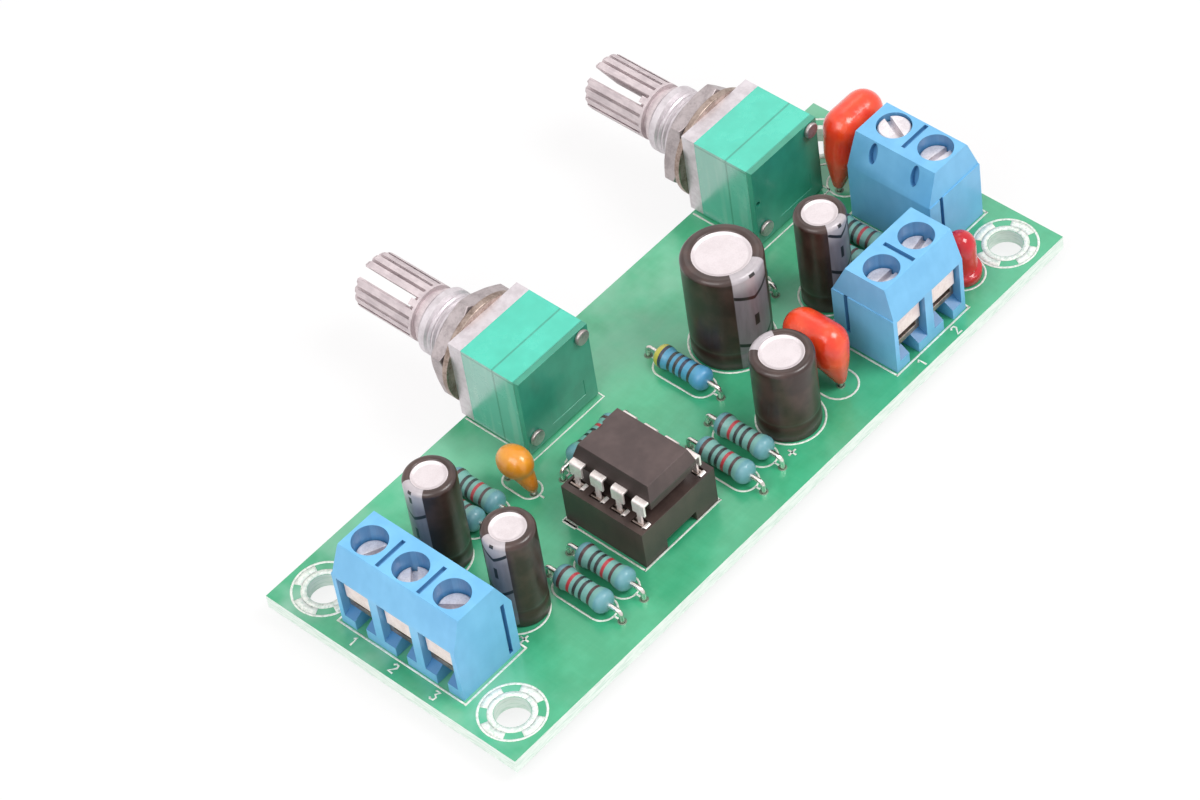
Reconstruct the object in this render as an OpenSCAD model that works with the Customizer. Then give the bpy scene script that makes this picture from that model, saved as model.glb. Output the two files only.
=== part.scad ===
// Subwoofer preamp board: two dual-gang controls, three screw terminal blocks and a socketed chip
// X runs along the board, the control shafts point to +Y and +Z is up
// The origin is the middle of the four mounting holes, on the underside of the board

/* [Board] */
// Length of the board along X
board_l = 78; // [78:0.5:86]
// Width of the board along Y
board_w = 31.2; // [31.2:0.1:34]
// Thickness of the laminate
board_t = 1.6; // [1.2:0.1:2.4]
// Distance of each mounting hole from both edges
hole_inset = 3.9; // [3.5:0.1:4.3]
// Diameter of the mounting holes
hole_d = 3.4; // [2.8:0.1:3.8]
// How far the clipped leads reach below the board
tail_l = 1.4; // [1.1:0.1:2]
// Height of each solder cone below the board
solder_h = 0.9; // [0.6:0.1:1]

/* [Terminal blocks] */
// Distance from pole to pole
pole_pitch = 5.08; // [5:0.02:5.2]
// Depth of a block from its front to its back
block_depth = 7.5; // [7.4:0.1:8]
// Height of a block above the board
block_h = 10.2; // [10:0.1:11]
// Height at which the front and back faces start to lean inwards
shoulder_h = 6.8; // [6.7:0.1:7.2]
// How far the top edge is set back from the front
front_lean = 1.2; // [0.8:0.1:1.4]
// How far the top edge is set in from the back
back_lean = 1.6; // [1:0.1:1.7]
// How far the top edge is set in at the left end
end_lean = 0.45; // [0.2:0.05:0.6]
// Width of one wire opening
opening_w = 4; // [3.9:0.05:4.1]
// Top of the wire opening above the board
opening_top = 6.5; // [6.35:0.05:6.6]
// Height of the opening's sill at the front
sill_h = 1.2; // [1:0.1:1.4]
// Width of the notch in the middle of the sill
sill_notch_w = 1.4; // [1.2:0.1:2]
// Depth of that notch from the block's front
sill_notch_l = 2.6; // [2:0.1:3]
// Diameter of the well over each screw
well_d = 3.5; // [3.4:0.05:3.9]
// Distance of the screw from the block's front
screw_y = 3.2; // [3.1:0.05:3.4]
// Diameter of a screw head
screw_head_d = 3.3; // [3.1:0.05:3.35]
// Height of a screw head
screw_head_h = 1.5; // [1.2:0.1:1.6]
// Diameter of the screw's shank
screw_shank_d = 2.8; // [2.4:0.05:2.9]
// How far a screw rises from clamped to fully open
screw_lift = 2.2; // [1.8:0.05:2.2]
// Width of the driver slot in the screw heads
screw_slot_w = 0.6; // [0.5:0.05:0.8]
// Thickness of the cage's side walls
cage_wall = 0.45; // [0.35:0.05:0.5]
// Thickness of the cage's threaded top
cage_top_t = 0.75; // [0.6:0.05:0.8]
// Height of the cage's floor plate above the board
cage_z = 2; // [1.95:0.05:2.1]
// Thickness of the cage's floor plate
cage_floor_t = 0.6; // [0.5:0.05:0.7]
// Thickness of the clamp leaf
leaf_t = 0.25; // [0.2:0.05:0.3]
// Height of the leaf's apron behind the opening
apron_h = 2.3; // [2:0.1:2.4]

/* [Controls] */
// Width of a control's body
pot_w = 9.5; // [9.2:0.1:9.6]
// Height of a control's body
pot_h = 9.8; // [9.6:0.1:10.4]
// Height of the body's underside above the board
pot_lift = 0.2; // [0.1:0.05:0.3]
// Height of the shaft's axis above the board
axis_h = 5.1; // [5:0.05:5.3]
// How far the front plate stands past the board's edge
plate_overhang = 0.4; // [0.3:0.05:0.6]
// Thickness of the front plate
plate_t = 1.6; // [1.4:0.1:1.8]
// Depth of the front gang's case
front_gang_d = 4; // [4:0.1:4.4]
// Depth of the rear gang's case
rear_gang_d = 2.65; // [2.6:0.05:2.9]
// Thickness of the back cover
cover_t = 0.6; // [0.5:0.05:0.8]
// Diameter of the threaded bushing
bushing_d = 7; // [6.8:0.1:7.2]
// Diameter of the thread's root, under the nut
thread_root_d = 6.5; // [6.3:0.05:6.6]
// Length of the bushing from the front plate
bushing_l = 6.4; // [5.5:0.1:6.6]
// Diameter of the shaft
shaft_d = 6; // [5.8:0.05:6]
// Length of the shaft from the front plate
shaft_l = 15; // [14:0.5:20]
// Where the knurled end starts, from the front plate
knurl_start = 7.4; // [7:0.1:8]
// Number of knurl teeth round the shaft
knurl_teeth = 18; // [12:2:24]
// Depth of the knurl grooves
knurl_depth = 0.3; // [0.2:0.05:0.4]
// Width of the slot that splits the shaft's end
split_w = 1.1; // [0.8:0.1:1.4]
// Depth of that slot
split_l = 6.6; // [5:0.1:7]
// Width across the flats of the hexagon nut
nut_flats = 10; // [9:0.5:11]
// Thickness of the nut
nut_t = 1.8; // [1.5:0.1:2]
// Diameter of the washer
washer_d = 11.4; // [10:0.2:12]
// Thickness of the washer
washer_t = 0.7; // [0.5:0.05:0.8]
// Running gap round a turning shaft
shaft_gap = 0.05; // [0.02:0.01:0.08]

/* [Chip] */
// Distance between the two rows of pins
row_pitch = 7.62; // [7.5:0.02:7.7]
// Distance from pin to pin in a row
pin_pitch = 2.54; // [2.5:0.01:2.56]
// Length of the chip's package
chip_l = 9.4; // [9.2:0.1:9.8]
// Width of the chip's package
chip_w = 6.35; // [6.1:0.05:6.5]
// Thickness of the package
chip_t = 3.3; // [3.2:0.1:3.6]
// Height of the socket
socket_h = 4.6; // [4.4:0.1:4.8]
// Width of the socket across the rows
socket_w = 10; // [9.8:0.1:10.3]
// Length of the socket along the rows
socket_l = 9.9; // [9.8:0.1:10.3]
// Gap between the socket and the package above it
chip_gap = 0.9; // [0.7:0.1:1.1]

/* [Capacitors and indicator] */
// Diameter of the large electrolytic capacitor
large_can_d = 8; // [7.6:0.1:8]
// Height of the large electrolytic capacitor
large_can_h = 12; // [10:0.5:13]
// Diameter of the middle electrolytic capacitor
middle_can_d = 6.2; // [5.8:0.1:6.3]
// Height of the middle electrolytic capacitor
middle_can_h = 9.3; // [8:0.1:11]
// Diameter of the three small electrolytic capacitors
small_can_d = 5.1; // [4.8:0.1:5.2]
// Height of the three small electrolytic capacitors
small_can_h = 11.3; // [10:0.1:12]
// Thickness of the plastic sleeve
sleeve_t = 0.15; // [0.1:0.01:0.2]
// Width of a dipped film capacitor
film_w = 7; // [6.6:0.1:7.2]
// Thickness of a dipped film capacitor
film_t = 4; // [3.6:0.1:4.2]
// Height above the board of the film capacitor beside the controls
tall_film_h = 9.6; // [8.8:0.1:10]
// Height above the board of the film capacitor near the output
low_film_h = 7.4; // [7:0.1:8]
// Lead spacing of the film capacitors
film_pitch = 5.08; // [4.8:0.02:5.2]
// Diameter of the indicator's lens
lens_d = 3; // [2.9:0.1:3.1]
// Height of the indicator above the board
lens_h = 5.5; // [4.8:0.1:6]

/* [Resistors] */
// Length of a resistor's body
resistor_l = 6.3; // [5.8:0.1:6.5]
// Diameter of a resistor's end caps
resistor_d = 2.4; // [2.2:0.05:2.5]
// Distance between the two holes of a resistor
resistor_pitch = 9.1; // [8.8:0.1:9.2]
// Diameter of the component leads
lead_d = 0.56; // [0.5:0.02:0.6]

/* [Hidden] */

fine = 48;
clear = 0.05;

// Length and width of the board that the places below belong to
LAYOUT = [78, 31.2];
// Free strips between the columns of parts: [distance from the left edge, width]
// They widen or narrow when the board gets longer or shorter
FREE_STRIPS = [[9.7, 1.1], [24, 1.6], [33.4, 2], [37.9, 0.8], [41.1, 0.7], [45.5, 0.8], [53.3, 1.9]];
function total(list, i = 0) = i < len(list) ? list[i] + total(list, i + 1) : 0;
FREE_WIDTH = total([for (s = FREE_STRIPS) s[1]]);
function along(u) = u + (board_l - LAYOUT.x)
    * total([for (s = FREE_STRIPS) min(max(u - s[0], 0), s[1])]) / FREE_WIDTH;
function across(v) = v * board_w / LAYOUT.y;

// Each block is [u and v of its left front corner, turn, poles, turn of each screw's slot,
// height of each screw over fully down]
// The fronts look away from the board at its left, right and lower edge
input_front = 2.2;
power_front = 2.05;
output_front = 1.75;
input_block_at = [input_front, across(15.81) + 1.5 * pole_pitch, -90, 3, [64, 132, 36], [0.55, 0.55, 0.55]];
power_block_at = [board_l - power_front, across(13.21) - pole_pitch, 90, 2, [83, 155], [1.15, screw_lift]];
output_block_at = [along(60.26) - pole_pitch, output_front, 0, 2, [-1, 10], [0.75, 0.75]];
BLOCKS = [input_block_at, power_block_at, output_block_at];

// Middle of each control along the board
volume_u = along(31.7);
filter_u = along(64.65);
CONTROLS = [volume_u, filter_u];
plate_v = board_w + plate_overhang;

// Middle of the chip
chip_at = [along(28.4), across(10.1)];
chip_pins = 4;

// Electrolytic capacitors: [u, v, diameter, height, lead spacing, turn of the lead pair]
CANS = [
    [along(13.4), across(11.3), small_can_d, small_can_h, 2, 0],
    [along(13.6), across(21.15), small_can_d, small_can_h, 2, 0],
    [along(49.24), across(17.05), large_can_d, large_can_h, 3.5, 0],
    [along(44.9), across(6.35), middle_can_d, middle_can_h, 2.5, 0],
    [along(59.1), across(13.5), small_can_d, small_can_h, 2, 0]];

// Film capacitors: [u, v, turn, height, lean of the top along its width]
FILMS = [
    [along(50.85), across(7.6), 90, low_film_h, 0],
    [along(72.8), across(21.4), 0, tall_film_h, 0.35]];
film_lead_top = 2.4;
ceramic_at = [along(23.75), across(21.1)];
ceramic_pitch = 3.3;
ceramic_lead_top = 1.5;
lens_at = [along(68.6), across(4.75)];
lens_pitch = 2.54;
lens_lead_top = 1.4;

// Resistors: [u, v, turn]
RESISTORS = [for (r = [
    [17.45, 7.4, 90], [20.55, 7.5, 90], [36.65, 7, 90], [39.9, 7.5, 90], [43, 17.7, 90],
    [20.1, 23.2, 90], [17.5, 23.35, 90], [31.25, 18.45, 0], [66, 15, 90], [63.2, 15, 90],
    [56, 22, 90]]) [along(r.x), across(r.y), r.z]];
resistor_z = resistor_d / 2 + 0.1;

// Every round lead through the board: [u, v, diameter]
function turned(a, p) = [p.x * cos(a) - p.y * sin(a), p.x * sin(a) + p.y * cos(a)];
function pair(at, a, pitch, d) = [for (s = [-1, 1])
    let (p = turned(a, [s * pitch / 2, 0])) [at.x + p.x, at.y + p.y, d]];
ROUND_LEADS = concat(
    [for (c = CANS) each pair(c, c[5], c[4], lead_d)],
    [for (f = FILMS) each pair(f, f[2], film_pitch, lead_d)],
    pair(ceramic_at, 90, ceramic_pitch, lead_d),
    pair(lens_at, 90, lens_pitch, lead_d),
    [for (r = RESISTORS) each pair(r, r[2], resistor_pitch, lead_d)]);

// Every flat pin through the board: [u, v, width along X, width along Y]
block_pin = [0.9, 0.7];
block_pin_y = 4;
control_pin = [0.8, 0.4];
socket_pin = [0.3, 0.5];
function block_pins(b) = [for (i = [0 : b[3] - 1])
    let (p = turned(b[2], [(i + 0.5) * pole_pitch, block_pin_y]),
        w = abs(b[2]) == 90 ? [block_pin.y, block_pin.x] : block_pin)
    [b.x + p.x, b.y + p.y, w.x, w.y]];
CONTROL_PIN_X = [-2.5, 0, 2.5];
front_rotor_t = 1.3;
rear_rotor_t = 1.2;
wafer_t = 0.8;
rotor_gap = 0.1;
front_rotor_y = -plate_t - rotor_gap - front_rotor_t;
front_wafer_y = front_rotor_y - rotor_gap - wafer_t;
rear_top_y = -plate_t - front_gang_d;
rear_rotor_y = rear_top_y - rotor_gap - rear_rotor_t;
rear_wafer_y = rear_rotor_y - rotor_gap - wafer_t;
WAFER_Y = [front_wafer_y, rear_wafer_y];
function control_pins_at(u) = [for (x = CONTROL_PIN_X, y = WAFER_Y)
    [u + x, plate_v + y + wafer_t / 2, control_pin.x, control_pin.y]];
CHIP_PIN_Y = [for (i = [0 : chip_pins - 1]) (i - (chip_pins - 1) / 2) * pin_pitch];
SOCKET_PINS = [for (x = [-row_pitch / 2, row_pitch / 2], y = CHIP_PIN_Y)
    [chip_at.x + x, chip_at.y + y, socket_pin.x, socket_pin.y]];
FLAT_PINS = concat(
    [for (b = BLOCKS) each block_pins(b)],
    [for (u = CONTROLS) each control_pins_at(u)],
    SOCKET_PINS);

drill_gap = 0.16;
function drill_r(p) = len(p) == 3 ? p[2] / 2 + drill_gap : norm([p[2], p[3]]) / 2 + drill_gap / 2;

module from_corner(u, v, z = 0) {
    translate([u - board_l / 2, v - board_w / 2, board_t + z]) children();
}

module at_block(b) {
    from_corner(b.x, b.y) rotate(b[2]) children();
}

module at_pole(b, i) {
    at_block(b) translate([(i + 0.5) * pole_pitch, 0, 0]) children();
}

module at_control(u) {
    from_corner(u, plate_v) children();
}

module circuit_board() {
    color("mediumseagreen") difference() {
        translate([-board_l / 2, -board_w / 2, 0]) cube([board_l, board_w, board_t]);
        for (x = [-1, 1], y = [-1, 1])
            translate([x * (board_l / 2 - hole_inset), y * (board_w / 2 - hole_inset), -1])
                cylinder(d = hole_d, h = board_t + 2, $fn = fine);
        for (p = concat(ROUND_LEADS, FLAT_PINS))
            from_corner(p.x, p.y, -board_t - 1) cylinder(r = drill_r(p), h = board_t + 2, $fn = 24);
    }
}

// A soldered joint fills its hole and ends in a cone round the lead
module solder_joint(p) {
    hole_r = drill_r(p);
    from_corner(p.x, p.y, -board_t) difference() {
        rotate_extrude($fn = 24) polygon([
            [0, board_t], [hole_r, board_t], [hole_r, 0], [hole_r + 0.35, 0],
            [hole_r + 0.3, -solder_h * 0.3], [hole_r, -solder_h * 0.75], [hole_r - 0.1, -solder_h],
            [0, -solder_h]]);
        if (len(p) == 3)
            translate([0, 0, -2 * tail_l]) cylinder(d = p[2], h = board_t + 4 * tail_l, $fn = 24);
        else
            translate([-p[2] / 2, -p[3] / 2, -2 * tail_l]) cube([p[2], p[3], board_t + 4 * tail_l]);
    }
}

module solder_joints() {
    color("silver") for (p = concat(ROUND_LEADS, FLAT_PINS)) solder_joint(p);
}

cage_w = opening_w - 2 * clear;
cage_y = screw_y - 2.3;
cage_l = 4.6;
cage_top = opening_top - 0.2;
leaf_z = cage_top - cage_top_t - 2 * clear - screw_lift - leaf_t;
leaf_w = cage_w - 2 * cage_wall - 4 * clear;
leaf_l = cage_l - 2 * clear;
apron_y = cage_y - 0.1 - leaf_t;
apron_w = opening_w - 0.4;

module block_profile() {
    polygon([
        [0, 0], [0, shoulder_h], [0.12, shoulder_h + 0.35], [front_lean - 0.15, block_h - 0.25],
        [front_lean, block_h], [block_depth - back_lean, block_h], [block_depth, shoulder_h],
        [block_depth, 0]]);
}

// Sloping sill with a notch down to the board, cut together with the opening
module wire_opening() {
    sill_l = cage_y + 0.3;
    translate([-opening_w / 2, 0, 0]) rotate([90, 0, 90]) linear_extrude(opening_w) polygon([
        [-1, sill_h - 0.4], [0, sill_h], [sill_l, cage_z - clear],
        [cage_y + cage_l + clear, cage_z - clear], [cage_y + cage_l + clear, cage_top + clear],
        [cage_y - 0.1, cage_top + clear], [cage_y - 0.1, opening_top], [-1, opening_top]]);
    translate([-sill_notch_w / 2, -1, -1]) cube([sill_notch_w, 1 + sill_notch_l, 1 + cage_z - clear]);
    translate([-apron_w / 2 - clear, apron_y - 2 * clear, leaf_z])
        cube([apron_w + 2 * clear, leaf_t + 4 * clear, apron_h + screw_lift + 0.1]);
}

module terminal_block(b) {
    block_l = b[3] * pole_pitch;
    groove_w = 0.45;
    color("deepskyblue") at_block(b) difference() {
        rotate([90, 0, 90]) linear_extrude(block_l) block_profile();
        translate([0, -1, 0]) rotate([90, 0, 180]) linear_extrude(block_depth + 2)
            polygon([[1, shoulder_h + 0.1], [-0.12, shoulder_h + 0.1], [-end_lean, block_h + 0.01],
                [1, block_h + 0.01]]);
        for (i = [0 : b[3] - 1]) translate([(i + 0.5) * pole_pitch, 0, 0]) {
            translate([0, screw_y, cage_top]) cylinder(d = well_d, h = block_h, $fn = fine);
            wire_opening();
            translate([-block_pin.x / 2 - clear, block_pin_y - block_pin.y / 2 - clear, -1])
                cube([block_pin.x + 2 * clear, block_pin.y + 2 * clear, cage_z + 1]);
            test_slot();
        }
        for (i = [1 : b[3] - 1])
            translate([i * pole_pitch - groove_w / 2, 1.4, block_h - 0.5]) cube([groove_w, 3.6, 1]);
        translate([-0.5, block_depth - 1.95, 2]) cube([1, groove_w, shoulder_h - 1.9]);
        translate([block_l - 0.5, block_depth - 1.4, 0.5]) cube([1, groove_w, shoulder_h]);
    }
}

// Oval slot in the leaning back face for a meter probe
module test_slot() {
    lean = atan(back_lean / (block_h - shoulder_h));
    slot = [0.95, 2.25];
    slot_depth = 0.7;
    slot_from_top = 1.3;
    translate([0, block_depth - back_lean, block_h]) rotate([lean - 90, 0, 0])
        translate([0, slot_from_top, 0]) linear_extrude(2 * slot_depth, center = true)
            scale(slot) circle(d = 1, $fn = 24);
}

// Cage with its threaded top, floor plate and solder pin
module cage(b, i) {
    at_pole(b, i) {
        difference() {
            translate([-cage_w / 2, cage_y, cage_z]) cube([cage_w, cage_l, cage_top - cage_z]);
            translate([-cage_w / 2 + cage_wall, cage_y - 1, cage_z + cage_floor_t])
                cube([cage_w - 2 * cage_wall, cage_l + 2, cage_top - cage_z - cage_floor_t - cage_top_t]);
            translate([0, screw_y, cage_z + 1])
                cylinder(d = screw_shank_d + 2 * clear, h = cage_top, $fn = fine);
        }
        translate([-block_pin.x / 2, block_pin_y - block_pin.y / 2, -board_t - tail_l])
            cube([block_pin.x, block_pin.y, board_t + tail_l + cage_z]);
    }
}

module contacts(b) {
    color("gainsboro") for (i = [0 : b[3] - 1]) cage(b, i);
}

// The head rests on the cage when the screw is down
module clamp_screw(b, i) {
    head_z = cage_top + screw_head_h;
    tip_z = leaf_z + leaf_t + 0.02;
    edge = 0.15;
    slot_depth = 0.75;
    color("silver") at_pole(b, i) translate([0, screw_y, b[5][i]]) difference() {
        union() {
            translate([0, 0, cage_top])
                cylinder(d = screw_head_d, h = screw_head_h - edge, $fn = fine);
            translate([0, 0, head_z - edge])
                cylinder(d1 = screw_head_d, d2 = screw_head_d - 2 * edge, h = edge, $fn = fine);
            translate([0, 0, tip_z]) cylinder(d = screw_shank_d, h = cage_top - tip_z, $fn = fine);
        }
        rotate(b[4][i]) translate([-screw_head_d, -screw_slot_w / 2, head_z - slot_depth])
            cube([2 * screw_head_d, screw_slot_w, 2 * slot_depth]);
    }
}

// Leaf that the screw presses down on the wire, with an apron at the front
module clamp_leaf(b, i) {
    color("mistyrose") at_pole(b, i) translate([0, 0, leaf_z + b[5][i]]) {
        translate([-leaf_w / 2, apron_y, 0]) cube([leaf_w, leaf_l, leaf_t]);
        translate([-apron_w / 2, apron_y, 0]) cube([apron_w, leaf_t, apron_h]);
    }
}

rivet_x = 3.7;
rivet_low_z = pot_lift + 1.75;
rivet_high_z = pot_lift + pot_h - 0.85;
rivet_d = 1;
core_d = 3;
cavity_d = 8.6;
rotor_d = 7.8;
stem_w = 6;
stem_z = 1.2;
case_gap = 0.1;
pin_top = 2.6;

module control_block(y0, y1) {
    translate([-pot_w / 2, y0, pot_lift]) cube([pot_w, y1 - y0, pot_h]);
}

module along_axis(y0, y1, d, sides = fine) {
    translate([0, y0, axis_h]) rotate([-90, 0, 0]) cylinder(d = d, h = y1 - y0, $fn = sides);
}

module rivet_rods(y0, y1, d) {
    for (p = [[-rivet_x, rivet_low_z], [rivet_x, rivet_high_z]])
        translate([p.x, y0, p.y]) rotate([-90, 0, 0]) cylinder(d = d, h = y1 - y0, $fn = 24);
}

rear_y = rear_top_y - rear_gang_d;
cover_y = rear_y - cover_t;

module front_plate(u) {
    chamfer = 0.5;
    color("gainsboro") at_control(u) difference() {
        union() {
            control_block(-plate_t, 0);
            along_axis(0, washer_t + nut_t, thread_root_d);
            along_axis(washer_t + nut_t, bushing_l - chamfer, bushing_d);
            translate([0, bushing_l - chamfer, axis_h]) rotate([-90, 0, 0])
                cylinder(d1 = bushing_d, d2 = bushing_d - 2 * chamfer, h = chamfer, $fn = fine);
        }
        along_axis(-plate_t - 1, bushing_l + 1, shaft_d + 2 * shaft_gap);
        rivet_rods(-plate_t - 1, -0.5, rivet_d);
    }
}

module washer(u) {
    color("rosybrown") at_control(u) difference() {
        along_axis(0, washer_t, washer_d);
        along_axis(-1, washer_t + 1, bushing_d + 0.4);
    }
}

module nut(u, turn) {
    nut_d = nut_flats / cos(30);
    bevel = 0.35;
    color("silver") at_control(u) difference() {
        intersection() {
            translate([0, washer_t, axis_h]) rotate([-90, 0, 0]) rotate(turn)
                cylinder(d = nut_d, h = nut_t, $fn = 6);
            translate([0, washer_t, axis_h]) rotate([-90, 0, 0]) {
                cylinder(d1 = nut_d - 1.4, d2 = nut_d, h = bevel, $fn = fine);
                translate([0, 0, bevel]) cylinder(d = nut_d, h = nut_t - 2 * bevel, $fn = fine);
                translate([0, 0, nut_t - bevel])
                    cylinder(d1 = nut_d, d2 = nut_d - 1.4, h = bevel, $fn = fine);
            }
        }
        along_axis(-1, washer_t + nut_t + 1, thread_root_d);
    }
}

module control_shaft(u, turn) {
    groove_d = shaft_d - 1;
    groove_y = bushing_l + 0.3;
    tip_bevel = 0.4;
    color("lightgray") at_control(u) difference() {
        union() {
            along_axis(rear_y + rotor_gap, -plate_t + rotor_gap, core_d);
            along_axis(-plate_t + rotor_gap, groove_y, shaft_d);
            along_axis(groove_y, knurl_start, groove_d);
            along_axis(knurl_start, shaft_l - tip_bevel, shaft_d);
            translate([0, shaft_l - tip_bevel, axis_h]) rotate([-90, 0, 0])
                cylinder(d1 = shaft_d, d2 = shaft_d - 2 * tip_bevel, h = tip_bevel, $fn = fine);
        }
        translate([0, knurl_start + 0.3, axis_h]) rotate([-90, 0, 0])
            for (i = [0 : knurl_teeth - 1]) rotate(i * 360 / knurl_teeth)
                translate([shaft_d / 2 - knurl_depth, 0, 0]) rotate(45)
                    cube([2 * knurl_depth, 2 * knurl_depth, shaft_l]);
        translate([0, shaft_l - split_l, axis_h]) rotate([-90, 0, 0]) rotate(turn)
            translate([-shaft_d, -split_w / 2, 0]) cube([2 * shaft_d, split_w, 2 * split_l]);
    }
}

module rotors(u) {
    color("ivory") at_control(u) difference() {
        union() {
            along_axis(front_rotor_y, front_rotor_y + front_rotor_t, rotor_d);
            along_axis(rear_rotor_y, rear_rotor_y + rear_rotor_t, rotor_d);
        }
        along_axis(cover_y, 0, core_d);
    }
}

// Round cavity with a stem that opens downwards for the pins
module wafer_outline(extra) {
    translate([0, axis_h]) circle(d = cavity_d - 2 * case_gap + 2 * extra, $fn = fine);
    translate([-stem_w / 2 - extra, stem_z - extra]) square([stem_w + 2 * extra, axis_h - stem_z]);
}

module upright(y, t) {
    translate([0, y + t, 0]) rotate([90, 0, 0]) linear_extrude(t) children();
}

module gang_case(u, y0, y1, wafer_y) {
    color("lightseagreen") at_control(u) difference() {
        control_block(y0, y1);
        along_axis(wafer_y + wafer_t - 0.01, y1 + 1, cavity_d);
        upright(wafer_y, wafer_t) wafer_outline(case_gap);
        translate([-stem_w / 2 - case_gap, wafer_y, -1]) cube([stem_w + 2 * case_gap, wafer_t, 2 * stem_z]);
        along_axis(y0 - 1, y1 + 1, core_d + 2 * shaft_gap);
        rivet_rods(y0 - 1, y1 + 1, rivet_d);
    }
}

module back_cover(u) {
    color("seagreen") at_control(u) difference() {
        control_block(cover_y, rear_y);
        rivet_rods(cover_y - 1, rear_y + 1, rivet_d);
    }
}

module rivets(u) {
    color("gray") at_control(u) {
        rivet_rods(cover_y, -0.5, rivet_d);
        rivet_rods(cover_y - 0.45, cover_y, 1.65);
    }
}

module control_wafers() {
    color("sienna") for (u = CONTROLS, y = WAFER_Y) at_control(u)
        upright(y, wafer_t) difference() {
            wafer_outline(0);
            for (x = CONTROL_PIN_X) translate([x - control_pin.x / 2, 0])
                square([control_pin.x, pin_top]);
            translate([0, axis_h]) circle(d = core_d + 0.4, $fn = fine);
        }
}

module control_pins() {
    color("silver") for (p = concat(control_pins_at(volume_u), control_pins_at(filter_u)))
        from_corner(p.x, p.y) translate([-p[2] / 2, -p[3] / 2, -board_t - tail_l])
            cube([p[2], p[3], board_t + tail_l + pin_top]);
}

chip_z = socket_h + chip_gap;
chip_mid_z = chip_z + chip_t / 2;
lead_t = 0.25;
contact_slot = [1, 1.7];

module at_chip() {
    from_corner(chip_at.x, chip_at.y) children();
}

module slab(w, l, z, t) {
    translate([-w / 2, -l / 2, z]) cube([w, l, t]);
}

module amplifier_chip() {
    draft = 0.45;
    color("dimgray") at_chip() difference() {
        hull() {
            slab(chip_w - 2 * draft, chip_l - 2 * draft, chip_z, 0.1);
            slab(chip_w, chip_l, chip_mid_z - lead_t / 2, lead_t);
            slab(chip_w - 2 * draft, chip_l - 2 * draft, chip_z + chip_t - 0.1, 0.1);
        }
        translate([0, chip_l / 2, chip_z + chip_t - 0.5]) cylinder(d = 1.6, h = 1, $fn = 24);
    }
}

// Each lead is wide down to its shoulder and narrow below it
module chip_leads() {
    shoulder_z = socket_h + 1.2;
    color("whitesmoke") at_chip() for (s = [-1, 1], y = CHIP_PIN_Y) translate([0, y, 0]) {
        outer = row_pitch / 2 + lead_t / 2;
        translate([s > 0 ? chip_w / 2 : -outer, -0.75, chip_mid_z - lead_t / 2])
            cube([outer - chip_w / 2, 1.5, lead_t]);
        translate([s * row_pitch / 2 - lead_t / 2, -0.75, shoulder_z])
            cube([lead_t, 1.5, chip_mid_z - shoulder_z]);
        translate([s * row_pitch / 2 - lead_t / 2, -0.27, 1.3]) cube([lead_t, 0.54, shoulder_z - 1.2]);
    }
}

// The socket stands on its long sides, with a gap under each end
module chip_socket() {
    foot_h = 1.2;
    color("darkslategray") at_chip() difference() {
        slab(socket_w, socket_l, 0, socket_h);
        slab(4.4, socket_l - 3, -1, socket_h + 2);
        slab(4, socket_l + 2, -1, 1 + foot_h);
        translate([0, socket_l / 2, -1]) cylinder(d = 2.4, h = socket_h + 2, $fn = 32);
        for (s = [-1, 1], y = CHIP_PIN_Y) translate([s * row_pitch / 2, y, 0]) {
            slab(contact_slot.x, contact_slot.y, 0.8, socket_h);
            slab(socket_pin.x + 2 * clear, socket_pin.y + 2 * clear, -1, 2);
        }
    }
}

// Each contact has two leaves that grip the chip's lead, a web under it and a solder tail
module socket_contacts() {
    leaf = 0.2;
    leaf_l = contact_slot.y - 2 * clear;
    color("whitesmoke") at_chip() for (s = [-1, 1], y = CHIP_PIN_Y)
        translate([s * row_pitch / 2, y, 0]) {
            for (f = [-1, 1]) translate([f * (lead_t + leaf) / 2 - leaf / 2, -leaf_l / 2, 0.9])
                cube([leaf, leaf_l, socket_h - 0.95]);
            slab(lead_t + 2 * leaf, leaf_l, 0.85, 0.3);
            slab(socket_pin.x, socket_pin.y, -board_t - tail_l, board_t + tail_l + 0.9);
        }
}

function arc(c, r, a0, a1, n) = [for (i = [0 : n]) let (a = a0 + (a1 - a0) * i / n)
    [c.x + r * cos(a), c.y + r * sin(a)]];
bung_h = 1;
bung_wall = 0.6;
bead_z = 2;
bead_depth = 0.25;
rim_r = 0.5;

// Outer outline of a capacitor of radius r and height h, from its base to the rolled rim
function can_side(r, h) = concat(
    [[r, 0], [r, bead_z - 0.4]],
    [[r - bead_depth, bead_z - 0.15], [r - bead_depth, bead_z + 0.15], [r, bead_z + 0.4]],
    arc([r - rim_r, h - rim_r], rim_r, 0, 90, 5));

module capacitor_sleeve(c) {
    r = c[2] / 2;
    h = c[3];
    lip = 0.85;
    color("#2b2120") from_corner(c.x, c.y) rotate_extrude($fn = fine) difference() {
        polygon(concat([[0, 0]], can_side(r, h), [[r - lip, h], [r - lip, h - sleeve_t], [0, h - sleeve_t]]));
        polygon(concat([[-1, -1], [r - sleeve_t, -1]], can_inner(r, h), [[-1, h - sleeve_t]]));
    }
}

function can_inner(r, h) = concat(
    [[r - sleeve_t, 0], [r - sleeve_t, bead_z - 0.4]],
    [[r - bead_depth - sleeve_t, bead_z - 0.15], [r - bead_depth - sleeve_t, bead_z + 0.15],
        [r - sleeve_t, bead_z + 0.4]],
    arc([r - rim_r, h - rim_r], rim_r - sleeve_t, 0, 90, 5));

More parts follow.
